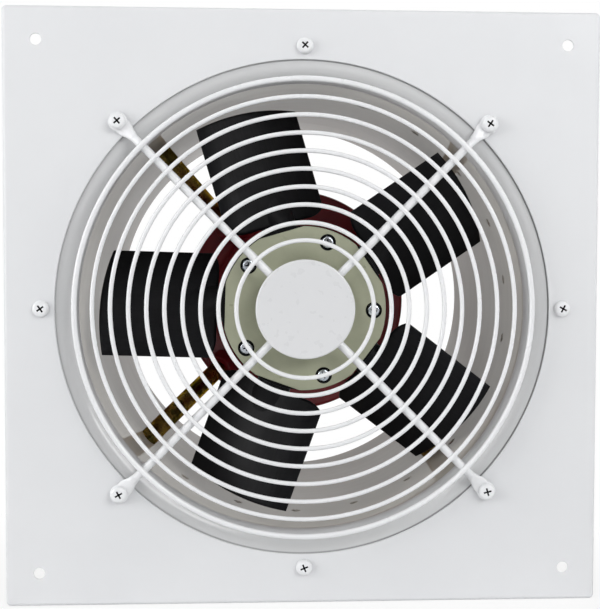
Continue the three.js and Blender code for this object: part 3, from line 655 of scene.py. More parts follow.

# %% [markdown]
# The casing is a long rolled tube, smooth inside. Near its rear end a half-round bead is welded
# round it to stiffen it. The profile goes back along the inside, round the rear edge, and
# forwards along the outside over the bead. Inside and outside wear a coat each, and the inside's
# darker colour is painted shade.

# %% Casing
CASING_IN = THROAT + SHEET + GAP
CASING_WALL = 1.6
CASING_OUT = CASING_IN + CASING_WALL
CASING_START = 19.0
CASING_END = 266.0
BEAD = 3.0
BEAD_Y = CASING_END - BEAD * 4
half_wall = CASING_WALL / 2
middle = CASING_IN + half_wall
front_edge = (middle, CASING_START + half_wall)
stations = (60.0, 100.0, 150.0, 200.0)
casing_profile = arc(front_edge, half_wall, 270, 180, 3)
casing_profile += [(CASING_IN, y) for y in (20.6, *stations, 248.0, 264.4)]
casing_profile += arc((middle, CASING_END - half_wall), half_wall, 180, 0, 6)
casing_profile += arc((CASING_OUT, BEAD_Y), BEAD, 90, -90, 10)
casing_profile += [(CASING_OUT, y) for y in (*stations[::-1], 20.6)]
casing_profile += arc(front_edge, half_wall, 0, -60, 2)
bm = bmesh.new()
turned(bm, casing_profile, 192, closed=True)
# inside faces take the darker coat, painted shade; outside faces the lighter one
for face in bm.faces:
    spot = face.calc_center_median()
    face.material_index = int(math.hypot(spot.x, spot.z) > middle)
coats = (casing_coat, shell_coat)
finished(bm, "casing_tube", "housing", coats, ["casing"], "casing_coat", sharp=40)

# %% [markdown]
# Twenty-two blind rivets hold the mouth's collar in the casing, evenly round it. Each is
# a low dome inside and a smaller one outside, made by turning one short profile and laying it
# along the radius. They repeat, so each has only a few faces.

# %% Collar rivets
def dome(bm, radius, height, steps=14):
    """A low dome on the XZ plane, bulging towards -Y, drawn at the origin."""
    profile = [(0.0, 0.0), (radius, 0.0), (radius * 0.96, -height * 0.45)]
    profile += [(radius * 0.7, -height * 0.85), (radius * 0.35, -height), (0.0, -height)]
    return turned(bm, profile, steps)


RIVETS = 22
RIVET_Y = 56.0
FIRST_RIVET = 7.2  # degrees
# radius and height of a head, the radius of the wall it sits on, and the way it is laid
rivet_heads = ((3.4, 0.7, THROAT, 90), (2.6, 1.1, CASING_OUT, -90))

bm = bmesh.new()
for i in range(RIVETS):
    for radius, height, wall, way in rivet_heads:
        verts = dome(bm, radius, height)
        bmesh.ops.transform(bm, matrix=laid((0, RIVET_Y, wall), way), verts=verts)
        turned_to(bm, FIRST_RIVET + 360 / RIVETS * i, verts)
# the rivets wear the casing's inside coat and its painted shade
finished(bm, "collar_rivets", "housing", casing_coat, slot="casing_coat")

# %% [markdown]
# The guard's ten rings are bent from wire and butt welded, so each is a small circle spun round
# the axis, with a little flash at its joint. They lie on four spokes, which run level and are
# cranked down to the plate just before their feet.

# %% Guard: spoke line and rings
SPOKE = 3.0
SPOKE_HEIGHT = 7.5  # its middle over the plate's face, all but at its feet
WIRE = 1.6
OUTER_WIRE = 2.0
RINGS = 10
FIRST_RING = 48.8
LAST_RING = 162.5
FOOT_SPOKE_Y = FACE - GAP - SPOKE
TOP_SPOKE_Y = FACE - SPOKE_HEIGHT
SPOKE_END = 179.22
# share of the way out to the foot, and share of the rise from the foot's level
spoke_knots = [(0, 1), (0.3, 1), (0.6, 1), (0.88, 1), (0.95, 0.3), (1, 0)]


def catmull(knots, steps):
    """A smooth line through the knots, with the same number of steps between each pair."""
    points = [Vector(k) for k in knots]
    points = [points[0] * 2 - points[1]] + points + [points[-1] * 2 - points[-2]]
    line = []
    for i in range(1, len(points) - 2):
        a, b, c, d = points[i - 1 : i + 3]
        for j in range(steps):
            t = j / steps
            bend = (a * 2 - b * 5 + c * 4 - d) * t**2 + (b * 3 - a - c * 3 + d) * t**3
            line.append((b * 2 + (c - a) * t + bend) * 0.5)
    return line + [points[-2]]


spoke_line = [
    Vector((0, FOOT_SPOKE_Y + (TOP_SPOKE_Y - FOOT_SPOKE_Y) * rise, SPOKE_END * share))
    for share, rise in catmull(spoke_knots, 6)
]


def spoke_height(radius):
    for a, b in zip(spoke_line, spoke_line[1:]):
        if a.z <= radius <= b.z:
            return a.y + (b.y - a.y) * (radius - a.z) / (b.z - a.z)
    return spoke_line[-1].y


def wire_ring(bm, radius, y, wire, steps):
    verts = bmesh.ops.create_circle(bm, cap_ends=False, segments=12, radius=wire)["verts"]
    bmesh.ops.translate(bm, vec=(radius, y, 0), verts=verts)
    spun(bm, verts + list({e for v in verts for e in v.link_edges}), (0, 0), steps)


ring_sizes = []
for i in range(RINGS):
    wire = OUTER_WIRE if i == RINGS - 1 else WIRE
    radius = FIRST_RING + (LAST_RING - FIRST_RING) / (RINGS - 1) * i
    # a welded wire sinks a little into the spoke that it lies on
    ring_sizes.append((radius, spoke_height(radius) - SPOKE * 0.9 - wire * 0.6, wire))
print("rings:", [round(y, 1) for _, y, _ in ring_sizes])

# %% [markdown]
# A spoke is a round bar that ends in a flattened eye under its screw, as if hammered. That is a
# loft: one loop of points is extruded along the spoke's line, and at each step every point is
# moved to where it lies on the new section. A number stored on each vertex says which point of
# the section it is, and extruding copies that number.

# %% Guard: lofting
def lofted(bm, sections, count, close_start=True, close_end=True):
    """sections: functions from a point's share of a turn to its place. Returns the new points."""
    before = set(bm.verts)
    number = bm.verts.layers.int.get("point") or bm.verts.layers.int.new("point")
    verts = bmesh.ops.create_circle(bm, cap_ends=close_start, segments=count, radius=1)["verts"]
    for i, v in enumerate(verts):
        v[number] = i
        v.co = sections[0](i / count)
    edges = list({e for v in verts for e in v.link_edges})
    for section in sections[1:]:
        verts, edges = drawn_on(bm, edges)
        for v in verts:
            v.co = section(v[number] / count)
    if close_end:
        bmesh.ops.edgeloop_fill(bm, edges=edges)
    return [v for v in bm.verts if v not in before]


print("loft helper ready")

# %% [markdown]
# The spoke stays round until it nears the screw. From there its sections grow wider and thinner,
# and the last ones follow the round of the eye. The foot's underside stays level, just off the
# plate.

# %% Guard: spokes with flattened feet
FOOT = 6.9  # radius of the eye
FOOT_THIN = 1.3  # half the eye's thickness
ROUND_UNTIL = 171.0
# distance from the axis, half width and half thickness, where the bar is hammered flat
hammered = [(172, 3.3, 2.7), (174, 3.7, 2.45), (176, 4.3, 2.1), (178, 5.0, 1.7), (180.5, 5.7, 1.42)]


def spoke_section(middle, across, tall, lean=0.0):
    """across is the half width along X, tall the half thickness square to the spoke's line."""

    def point(share):
        t = share * math.tau
        up = tall * math.sin(t)
        return middle + Vector((across * math.cos(t), up * math.cos(lean), up * math.sin(lean)))

    return point


def spoke_sections():
    sections = []
    for before, middle, after in zip(spoke_line[:1] + spoke_line, spoke_line, spoke_line[1:]):
        if middle.z < ROUND_UNTIL:
            lean = math.atan2(before.y - after.y, after.z - before.z)
            sections.append(spoke_section(middle, SPOKE, SPOKE, lean))
    for z, across, tall in hammered:
        sections.append(spoke_section(Vector((0, FACE - GAP - tall, z)), across, tall))
    for turn in (-35, -18, 0, 18, 35, 52, 68, 80, 88):
        t = math.radians(turn)
        middle = Vector((0, FACE - GAP - FOOT_THIN, SCREW_CIRCLE + FOOT * math.sin(t)))
        tall = FOOT_THIN if turn < 75 else 0.9
        sections.append(spoke_section(middle, FOOT * math.cos(t), tall))
    return sections


print("spoke sections:", len(spoke_sections()))

# %% [markdown]
# The real guard is one welded piece, so its spokes, its rings and a thin collar of flash at each
# ring's weld are drawn into one mesh. The joints are scattered, as a welder's jig leaves them.

# %% Guard: wires, spokes and welds
WELD_TURNS = [-24, 41, 48, 222, 47, 38, 132, 39, 311, 228]  # where each ring's ends meet

bm = bmesh.new()
for turn in SCREW_TURNS[1::2]:
    turned_to(bm, turn, lofted(bm, spoke_sections(), 16))
for radius, y, wire in ring_sizes:
    wire_ring(bm, radius, y, wire, 144)
for (radius, y, wire), turn in zip(ring_sizes, WELD_TURNS):
    collar = [(0, -0.5), (wire * 1.02, -0.5), (wire * 1.16, 0), (wire * 1.02, 0.5), (0, 0.5)]
    verts = turned(bm, collar, 12)
    bmesh.ops.transform(bm, matrix=laid((0, y, radius), axis="Z"), verts=verts)
    turned_to(bm, turn, verts)
FINE = 0.0005  # doubles merged this close, where the points themselves are close
guard_nodes = ["wire_guard"]
finished(bm, "guard_wires", "housing", guard_coat, guard_nodes, "guard_coat", sharp=50, merge=FINE)

# %% [markdown]
# The disc in the middle of the guard is a thin pressed blank with a rolled edge. It hides the
# crossing of the spokes. A profile turned about the axis is all it needs.

# %% Guard disc
DISC = 35.3
DISC_THICK = 3.4
disc_back = TOP_SPOKE_Y - SPOKE * 1.15 - GAP
disc_front = disc_back - DISC_THICK
disc_profile = [(0, disc_back)] + arc((DISC - 1.3, disc_back - 1.3), 1.3, 90, 0, 4)
disc_profile += arc((DISC - 1.4, disc_front + 1.4), 1.4, 0, -85, 6)
disc_profile += [(30.0, disc_front), (0, disc_front)]
bm = bmesh.new()
turned(bm, disc_profile, 96)
finished(bm, "guard_disc_plate", "housing", disc_coat, ["guard_disc"], "guard_coat", sharp=40)

# %% [markdown]
# Seventeen pan-head screws in three sizes all come from one function. The head is a turned dome
# with a flat top, and the cross in it is a square grown into a plus by extruding its four sides.
# The flat between the plus and the rim is filled. The plus is then pushed down and narrowed, as
# the punch leaves it, and the faces that it started from are deleted to open the recess.

# %% Pan-head screws
CROSS_HALF = 0.10  # half the width of a cross's arm, as a share of the head's radius
CROSS_REACH = 0.38  # how far an arm goes beyond the middle square
CROSS_DEPTH = 0.75  # share of the head's height
CROSS_TAPER = 0.92


def pan_head(bm, radius, height, shank, length, steps=40):
    """Along Y: underside of the head at 0, top at -height, tip at length."""
    profile = [(radius * 0.60, -height), (radius * 0.74, -height * 0.955)]
    profile += [(radius * 0.87, -height * 0.80), (radius * 0.96, -height * 0.55)]
    profile += [(radius, -height * 0.28), (radius, -height * 0.08), (radius * 0.97, 0)]
    profile += [(shank, 0), (shank, length - shank * 0.4), (shank * 0.6, length), (0, length)]
    turned(bm, profile, steps)
    top = Vector((0, -height, 0))
    half = radius * CROSS_HALF
    core = bmesh.ops.create_grid(bm, x_segments=1, y_segments=1, size=half, matrix=laid(top))
    wings = list({f for v in core["verts"] for f in v.link_faces})
    for edge in list(wings[0].edges):
        outward = (edge.verts[0].co + edge.verts[1].co) / 2 - top
        made = bmesh.ops.extrude_edge_only(bm, edges=[edge])["geom"]
        wings += of_kind(made, BMFace)
        reach = outward.normalized() * radius * CROSS_REACH
        bmesh.ops.translate(bm, vec=reach, verts=of_kind(made, BMVert))
    filled_flat(bm, -height)
    low = of_kind(bmesh.ops.extrude_face_region(bm, geom=wings)["geom"], BMVert)
    bmesh.ops.delete(bm, geom=wings, context="FACES_ONLY")
    bmesh.ops.translate(bm, vec=(0, height * CROSS_DEPTH, 0), verts=low)
    bmesh.ops.scale(bm, vec=(CROSS_TAPER, 1, CROSS_TAPER), verts=low)
    # the recess's faces take the second finish: painted shade in the recess
    for face in {f for v in low for f in v.link_faces}:
        face.material_index = 1


def driven(bm, cross, y, circle, degrees, facing=0):
    """Turns a screw about itself, faces it forwards or back, and puts it on its circle."""
    about = Matrix.Rotation(cross, 4, "Y")
    bmesh.ops.transform(bm, matrix=laid((0, y, circle), facing) @ about, verts=bm.verts)
    turned_to(bm, degrees)


FOOT_LIFT = 2.9  # a foot of the guard and its play, under every second screw

for i, turn in enumerate(SCREW_TURNS):
    bm = bmesh.new()
    pan_head(bm, radius=6.0, height=3.4, shank=3.0, length=15.0)
    driven(bm, 0.5 + i * 0.9, FACE - GAP - FOOT_LIFT * (i % 2), SCREW_CIRCLE, turn)
    coats = (screw_coat, recess_shade)
    finished(bm, f"plate_screw_{i + 1}", "housing", coats, [f"flange_screw_{i + 1}"], "screw_coat")

# %% [markdown]
# Four tube arms carry the motor from the casing's wall. A tube's outer end is cut to the curve of
# the wall, so each point of that end slides along the tube until it meets the cylinder. The rest
# is a plain loft between two rings.

# %% Motor arms
ARM = 7.5
ARM_WALL_Y = 93.3  # where its middle line meets the casing
ARM_TURNS = [42 + 90 * i for i in range(4)]
arm_outer = Vector((0, ARM_WALL_Y, CASING_IN))
arm_inner = Vector((0, 175.0, 85.5))
arm_along = (arm_inner - arm_outer).normalized()
arm_side = Vector((1, 0, 0))
arm_up = arm_along.cross(arm_side)


def arm_ring(middle, radius):
    def point(share):
        t = share * math.tau
        return middle + (arm_side * math.cos(t) + arm_up * math.sin(t)) * radius

    return point


def coped_ring(radius, wall):
    plain = arm_ring(arm_outer, radius)

    def point(share):
        p = plain(share)
        a = arm_along.x**2 + arm_along.z**2
        b = 2 * (p.x * arm_along.x + p.z * arm_along.z)
        c = p.x**2 + p.z**2 - wall**2
        root = math.sqrt(b * b - 4 * a * c)
        reach = min((-b - root) / (2 * a), (-b + root) / (2 * a), key=abs)
        return p + arm_along * reach

    return point


LET_IN = 0.4  # how far an arm's end goes into the casing's wall

for i, turn in enumerate(ARM_TURNS):
    bm = bmesh.new()
    lofted(bm, [coped_ring(ARM, CASING_IN + LET_IN), arm_ring(arm_inner, ARM)], 40)
    turned_to(bm, turn)
    finished(bm, f"arm_tube_{i + 1}", "housing", yellow_zinc, [f"motor_arm_{i + 1}"], "arm_plate")

# %% [markdown]
# Each arm is held by a bolt from outside the casing. Its head is the six-sided bar again, on a
# turned washer and shank, drawn upright and then laid along the radius.

# %% Arm bolts
WASHER = 0.6
washer_profile = [(0, -WASHER), (6.6, -WASHER), (6.8, -WASHER / 2), (6.6, 0.0), (0, 0.0)]

for i, turn in enumerate(ARM_TURNS):
    bm = bmesh.new()
    hexagon(bm, 5.8, 0.0, 4.0, soften=0.4)
    turned(bm, washer_profile, 32)
    turned(bm, [(0, -7.0), (3.0, -7.0), (3.0, 0.0), (0, 0.0)], 20)
    seat = laid((0, ARM_WALL_Y, CASING_OUT + WASHER))
    bmesh.ops.transform(bm, matrix=seat, verts=bm.verts)
    turned_to(bm, turn)
    finished(bm, f"arm_fixing_{i + 1}", "housing", bright_zinc, [f"arm_bolt_{i + 1}"], "zinc")

# %% [markdown]
# The motor's front bell is a casting: a nose round the front bearing, a steep dome, and a wide
# rim with rounded edges. Four sockets for the arms stand on it, each a short lofted boss. The
# rim's profile has small arcs where a foundry would leave a radius.

# %% Motor front bell
NOSE_BORE = 12.5
RIM_FRONT = 175.0
RIM_BACK = 184.0
bell_profile = [(NOSE_BORE, 103.0)] + arc((32.0, 106.0), 3.0, -90, -25, 5)
bell_profile += [(40.0, 118.0), (52.0, 141.0), (64.0, 161.5)]
bell_profile += arc((77.0, 167.5), 7.0, 200, 95, 6)
bell_profile += [(84.0, RIM_FRONT), (93.0, RIM_FRONT)] + arc((95.6, 178.4), 3.4, -85, 0, 6)
bell_profile += [(99.0, RIM_BACK - 0.6), (98.4, RIM_BACK), (90.0, RIM_BACK)]
bell_profile += [(90.0, 181.0), (60.0, 176.0), (34.0, 128.0), (NOSE_BORE, 128.0)]
# how far along the arm from a boss's start, and its radius there
boss_steps = [(0.0, 8.0), (0.0, 11.2), (0.8, 12.0), (9.0, 12.4), (10.4, 12.6)]
boss_start = arm_inner - arm_along * 7.2
boss_rings = [arm_ring(boss_start + arm_along * on, radius) for on, radius in boss_steps]

bm = bmesh.new()
turned(bm, bell_profile, 128, closed=True)
for turn in ARM_TURNS:
    turned_to(bm, turn, lofted(bm, boss_rings, 36))
finished(bm, "motor_bell_front", "housing", red_coat, ["motor_front_bell"], "red_coat", sharp=38)

# %% [markdown]
# The body between the bells is a ribbed ring, and four of its ribs are wide lugs for the through
# screws. Its outline is a loop whose points step out at each rib; the loft carries that outline
# back, then returns along a plain round bore.

# %% Motor body
MOTOR = 95.0
MOTOR_BORE = 90.7
BODY_FRONT = RIM_BACK + GAP
BODY_BACK = BODY_FRONT + 52.0
RIB_POINTS = 8  # points of the outline from one rib to the next
BODY_POINTS = RIB_POINTS * 28
RIB = 3.2
LUG_TURNS = [87.0 + 90 * i for i in range(4)]
LUG_REACH = 4.6  # degrees to each side
BODY_EDGE = 0.7


def body_outline(y, drop=0.0):
    def point(share):
        step = round(share * BODY_POINTS)
        degrees = (step + 0.5) / BODY_POINTS * 360
        to_lug = min(abs((degrees - lug + 180) % 360 - 180) for lug in LUG_TURNS)
        if to_lug < LUG_REACH or step % RIB_POINTS in (1, 2, 3):
            height = RIB
        else:
            height = RIB / 2 if step % RIB_POINTS in (0, 4) else 0.0
        x, z = around(MOTOR + height - drop, degrees)
        return Vector((x, y, z))

    return point


def body_bore(y):
    def point(share):
        x, z = around(MOTOR_BORE, (round(share * BODY_POINTS) + 0.5) / BODY_POINTS * 360)
        return Vector((x, y, z))

    return point


body_sections = [
    body_outline(BODY_FRONT, BODY_EDGE),
    body_outline(BODY_FRONT + BODY_EDGE),
    body_outline(BODY_BACK - BODY_EDGE),
    body_outline(BODY_BACK, BODY_EDGE),
    body_bore(BODY_BACK),
    body_bore(BODY_FRONT),
    body_outline(BODY_FRONT, BODY_EDGE),
]
bm = bmesh.new()
lofted(bm, body_sections, BODY_POINTS, close_start=False, close_end=False)
finished(bm, "motor_body_ring", "housing", red_coat, ["motor_body"], "red_coat", sharp=30)

# %% [markdown]
# The rear bell closes the motor: a flat turned disc with a round shoulder, a boss round the rear
# bearing, and a pad under each through screw. It is one profile turned, with four small ones.

# %% Motor rear bell
BELL_FRONT = BODY_BACK + GAP
BELL_BACK = BELL_FRONT + 8.0
BOSS_BACK = BELL_BACK + 10.0
SHOULDER_ARC = 3.2
shoulder_y = BELL_BACK - SHOULDER_ARC
rear_profile = [(0, BELL_FRONT), (96.6, BELL_FRONT), (97.2, BELL_FRONT + 0.6)]
rear_profile += arc((94.0, shoulder_y), SHOULDER_ARC, 0, 90, 5)
rear_profile += [(60.0, BELL_BACK), (36.0, BELL_BACK)]
rear_profile += arc((32.0, BELL_BACK + 4.0), 4.0, 270, 200, 5) + [(26.4, BOSS_BACK - 2.0)]
rear_profile += arc((23.4, BOSS_BACK - 2.0), 2.0, 10, 90, 4)
rear_profile += [(14.0, BOSS_BACK), (13.0, BOSS_BACK - 1.0), (0, BOSS_BACK - 1.0)]
PAD_CIRCLE = 92.0
pad_back = BELL_BACK + 0.15
pad = [(0, BELL_FRONT + 0.4), (6.2, BELL_FRONT + 0.4), (6.2, BELL_BACK - 0.4)]
pad += [(5.6, pad_back), (0, pad_back)]
bm = bmesh.new()
turned(bm, rear_profile, 128)
for turn in LUG_TURNS:
    turned(bm, pad, 32, centre=around(PAD_CIRCLE, turn))
finished(bm, "motor_bell_rear", "housing", red_coat, ["motor_rear_bell"], "red_coat", sharp=38)

# %% [markdown]
# The through screws are pan heads too, driven from behind, so each is faced the other way.

# %% Bell screws
BELL_SEAT = BELL_BACK + GAP
BELL_SCREW_CIRCLE = 94.25
coats = (bright_zinc, recess_shade)

for i, turn in enumerate(LUG_TURNS):
    bm = bmesh.new()
    pan_head(bm, radius=4.6, height=2.53, shank=2.5, length=15.5, steps=32)
    driven(bm, 0.3 + i, BELL_SEAT, BELL_SCREW_CIRCLE, turn, facing=180)
    finished(bm, f"motor_screw_{i + 1}", "housing", coats, [f"bell_screw_{i + 1}"], "zinc")

# %% [markdown]
# The supply cable enters through a gland in the rear bell: a hexagon, a domed nut with shallow
# grips and a bore. The hexagon is the one used for the nuts, and the dome is turned.

# %% Cable gland
CABLE = 3.6  # radius of the gland's bore
HEX_BACK = 251.6
GLAND_BACK = 262.6
gland_place = around(66.0, -48)
dome_nut = [(CABLE, GLAND_BACK), (CABLE, 240.0), (7.6, 240.0), (7.6, HEX_BACK - 0.6)]
dome_nut += [(9.7, HEX_BACK - 0.6), (9.9, HEX_BACK), (9.9, 257.2)]
dome_nut += arc((6.9, 258.6), 3.0, 0, 75, 5) + [(5.0, GLAND_BACK)]
grip = [(0, 252.4), (0.5, 252.4), (0.6, 253.0), (0.6, 256.4), (0.3, 257.0), (0, 257.0)]
bm = bmesh.new()
hexagon(bm, 11.0, BELL_SEAT, HEX_BACK, gland_place, soften=0.7)
turned(bm, dome_nut, 48, centre=gland_place, closed=True)
for i in range(12):
    x, z = around(9.75, 30 * i)
    turned(bm, grip, 8, centre=(gland_place[0] + x, gland_place[1] + z))
finished(bm, "motor_gland", "housing", black_gland, ["cable_gland"], "black_gland")

# %% [markdown]
# The hub's front plate is a disc with five flats, one square to each blade. A circle is cut with
# five planes, pushed back to its thickness, and its front edge is bevelled. Five counterbores
# take the screws and five small dimples mark the blades; both are loops in the flat front, which
# is filled between them as the wall plate was.

# %% Hub front plate
HUB = 59.6
HUB_FLAT = 57.2  # from the axis to each of the five flats
HUB_FRONT = FACE + 6.0
HUB_BACK = HUB_FRONT + 8.0
HUB_SCREW_CIRCLE = 50.8
BLADE_TURNS = [34.4 + 72 * i for i in range(5)]
HUB_SCREW_TURNS = [-1.6 + 72 * i for i in range(5)]


def flatted_disc(bm, radius, flat, y):
    lie = laid((0, y, 0))
    bmesh.ops.create_circle(bm, cap_ends=True, segments=200, radius=radius, matrix=lie)
    for turn in BLADE_TURNS:
        x, z = around(1.0, turn)
        out = Vector((x, 0, z))
        geom = bm.verts[:] + bm.edges[:] + bm.faces[:]
        bmesh.ops.bisect_plane(
            bm, geom=geom, dist=1e-4, plane_co=out * flat, plane_no=out, clear_outer=True
        )
    return next(iter(bm.faces))


bm = bmesh.new()
front = flatted_disc(bm, HUB, HUB_FLAT, HUB_FRONT)
verts = of_kind(bmesh.ops.extrude_face_region(bm, geom=[front])["geom"], BMVert)
bmesh.ops.translate(bm, vec=(0, HUB_BACK - HUB_FRONT, 0), verts=verts)
softened(bm, in_flat(bm.edges, HUB_FRONT), 1.5, 4)
bmesh.ops.delete(bm, geom=in_flat(bm.faces, HUB_FRONT), context="FACES_ONLY")
print("hub plate without its front:", len(bm.faces), "faces")

# %% Hub front plate: counterbores and dimples
DIMPLE_CIRCLE = 52.7
pocket = [(6.0, HUB_FRONT)] + arc((5.6, HUB_FRONT + 0.3), 0.3, 270, 180, 3)
pocket += [(5.3, HUB_FRONT + 3.0), (0, HUB_FRONT + 3.0)]
dimple = [(1.7, HUB_FRONT), (1.4, HUB_FRONT + 0.1), (0.9, HUB_FRONT + 0.7), (0, HUB_FRONT + 0.9)]

for screw_turn, blade_turn in zip(HUB_SCREW_TURNS, BLADE_TURNS):
    uncut = set(bm.faces)
    turned(bm, pocket, 40, centre=around(HUB_SCREW_CIRCLE, screw_turn))
    # the counterbore's wall and floor take the second finish: painted shadow round the screw's head
    for face in set(bm.faces) - uncut:
        face.material_index = 1
    turned(bm, dimple, 20, centre=around(DIMPLE_CIRCLE, blade_turn))
bmesh.ops.remove_doubles(bm, verts=bm.verts, dist=0.002)
filled_flat(bm, HUB_FRONT)
coats = (hub_grey, recess_shade)
finished(bm, "hub_plate", "impeller", coats, ["hub_front_plate"], "hub_grey", sharp=36)

# %% [markdown]
# The hub's screws stand in the counterbores. They are long, because they reach through the plate
# and both black halves behind it, and each is left at a different turn, as screws are.

# %% Hub screws
coats = (bright_zinc, recess_shade)

for i, turn in enumerate(HUB_SCREW_TURNS):
    bm = bmesh.new()
    pan_head(bm, radius=4.9, height=3.0, shank=2.5, length=49.0, steps=36)
    driven(bm, 0.2 + i * 1.1, HUB_FRONT + 2.7, HUB_SCREW_CIRCLE, turn)
    finished(bm, f"hub_fixing_{i + 1}", "impeller", coats, [f"hub_screw_{i + 1}"], "zinc")

# %% [markdown]
# Behind the plate two black halves clamp the blades' shanks. Each is a turned block with its
# edges broken, and the rear one carries a boss for the shaft with a set screw in it.

# %% Hub halves
CLAMP = 60.3
CLAMP_BORE = 9.8
BLADE_Y = 26.0  # the blades' axis, where the halves meet
front_start = HUB_BACK + GAP
front_back = BLADE_Y - GAP / 2
rear_start = BLADE_Y + GAP / 2
front_half = [(CLAMP_BORE, front_start), (59.5, front_start)]
front_half += arc((CLAMP - 1.0, front_start + 1.0), 1.0, -90, 0, 3)
front_half += [(CLAMP, 25.2), (CLAMP - 0.5, front_back), (CLAMP_BORE, front_back)]
rear_half = [(CLAMP_BORE, rear_start), (CLAMP - 0.5, rear_start), (CLAMP, 26.8), (CLAMP, 48.6)]
rear_half += arc((57.9, 48.6), 2.4, 0, 90, 5)[1:] + [(28.0, 51.0)]
rear_half += arc((28.0, 55.0), 4.0, 270, 180, 4)[1:]
rear_half += [(24.0, 64.0), (23.0, 65.0), (CLAMP_BORE, 65.0)]

for side, profile in (("front", front_half), ("rear", rear_half)):
    bm = bmesh.new()
    turned(bm, profile, 128, closed=True)
    solid = f"hub_clamp_{side}"
    finished(bm, f"hub_half_{side}", "impeller", black_nylon, [solid], "black_nylon")

# %% [markdown]
# The set screw has a shallow socket in its end. The shaft is turned down at its tail for the rear
# bearing. Both are single profiles, and the screw is then laid along a radius of the boss.

# %% Boss screw and shaft
SHAFT = 9.5
SHAFT_TAIL = 7.5
screw_profile = [(0, 0), (0.9, 0.9), (1.5, 0.9), (1.5, 0), (2.7, 0), (3.0, 0.3)]
screw_profile += [(3.0, 12.0), (0, 12.0)]
bm = bmesh.new()
turned(bm, screw_profile, 20)
bmesh.ops.transform(bm, matrix=laid((0, 58.0, 21.8), -90), verts=bm.verts)
finished(bm, "boss_set_screw", "impeller", bright_zinc, ["hub_set_screw"], "zinc")

shaft_profile = [(0, 9.0), (SHAFT - 1.0, 9.0), (SHAFT, 10.0), (SHAFT, 234.7)]
shaft_profile += [(SHAFT_TAIL, 234.7), (SHAFT_TAIL, 247.2), (SHAFT_TAIL - 0.8, 248.0), (0, 248.0)]
bm = bmesh.new()
turned(bm, shaft_profile, 64)
finished(bm, "shaft_bar", "impeller", turned_steel, ["motor_shaft"], "steel")

# %% [markdown]
# A blade starts as two flat grids, one for each side. Every point is then moved onto the blade:
# its first coordinate says how far it is from the leading edge to the trailing edge, its second
# how far from root to tip. The section has a thick rounded nose and a thin tail, it is hollow
# towards the motor, and it is set at the pitch angle. The two sides meet along the edges, where
# doubles are merged. Cosine spacing puts more points where the nose and edges are round.

# %% Blade surface
PITCH = math.radians(33.0)
TIP = 151.0
ROOT = 63.5
CHORD = 92.0
CAMBER = 4.0
HALF_THICK = 3.2
SHOULDER = 19.32  # radius of the plan's corners at the root
HALF_PLAN = CHORD / 2 * math.cos(PITCH) + HALF_THICK * 2
EDGE_ROUND = 1.6  # over which root and tip are rounded off
TAIL_ROUND = 0.9


def pitched(along, off, z):
    """A point along the chord, square to it and out from the axis, turned to the pitch."""
    x = along * math.cos(PITCH) - off * math.sin(PITCH)
    return Vector((x, BLADE_Y + along * math.sin(PITCH) + off * math.cos(PITCH), z))


def rounding(distance, radius):
    """Grows from 0 at an edge to 1 at a radius from it, as a quarter circle does."""
    return math.sqrt(max(0.0, 1 - (1 - min(distance / radius, 1.0)) ** 2))


def on_blade(across, out, side):
    share = (1 - math.cos(math.pi * across)) / 2
    span = (1 - math.cos(math.pi * out)) / 2
    along = -CHORD / 2 + CHORD * share
    hump = -4 * CAMBER * share * (1 - share)
    thick = HALF_THICK * math.sqrt(min(1.0, share * 9)) * (1 - share * share * 0.72)
    flat_x = along * math.cos(PITCH) - hump * math.sin(PITCH)
    beyond = max(abs(flat_x) - (HALF_PLAN - SHOULDER), 0.0)
    root = ROOT + SHOULDER - math.sqrt(max(SHOULDER**2 - beyond**2, 0))
    tip = math.sqrt(TIP**2 - flat_x**2)
    z = root + (tip - root) * span
    soft = rounding(min(z - root, tip - z), EDGE_ROUND)
    tail = rounding((1 - share) * CHORD, TAIL_ROUND)
    return pitched(along, hump + side * thick * soft * tail, z)


print("blade chord", CHORD, "mm, tip at", TIP, "mm")

# %% [markdown]
# The root of a blade is a round shank with a collar that the two halves clamp. From there it
# grows flat and wide until it lies within the blade, so it is lofted like the spokes' feet.

# %% Blades
# distance from the axis, half width along the chord and half thickness
ROOT_STEPS = [(34, 17, 17), (38.6, 17, 17), (39, 16.6, 16.6), (39.2, 13, 13), (60, 13, 13)]
ROOT_STEPS += [(64, 13.6, 12.0), (68, 14.6, 10.2), (73, 15.2, 7.9), (79, 14.8, 5.6)]
ROOT_STEPS += [(86, 13.2, 3.7), (94, 10.5, 2.4), (102, 6.5, 1.3)]


def root_section(z, wide, thick):
    sunk = -HALF_THICK * min(max((z - 60) / 30, 0), 1)

    def point(share):
        t = share * math.tau
        return pitched(wide * math.cos(t), thick * math.sin(t) + sunk, z)

    return point


root_sections = [root_section(*step) for step in ROOT_STEPS]
nylon_look = {"material": black_nylon, "slot": "black_nylon", "sharp": 45, "merge": FINE}

for i, turn in enumerate(BLADE_TURNS):
    bm = bmesh.new()
    for side in (-1, 1):
        grid = bmesh.ops.create_grid(bm, x_segments=40, y_segments=36, size=0.5)["verts"]
        for v in grid:
            v.co = on_blade(v.co.x + 0.5, v.co.y + 0.5, side)
    bmesh.ops.remove_doubles(bm, verts=bm.verts, dist=FINE)
    lofted(bm, root_sections, 32)
    turned_to(bm, turn)
    finished(bm, f"vane_{i + 1}", "impeller", nodes=[f"blade_{i + 1}"], **nylon_look)

# %% [markdown]
# Inside the closed motor the core, winding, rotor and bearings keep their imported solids. They
# can't be seen, but finishes of their own are worth having when the part is cut open.

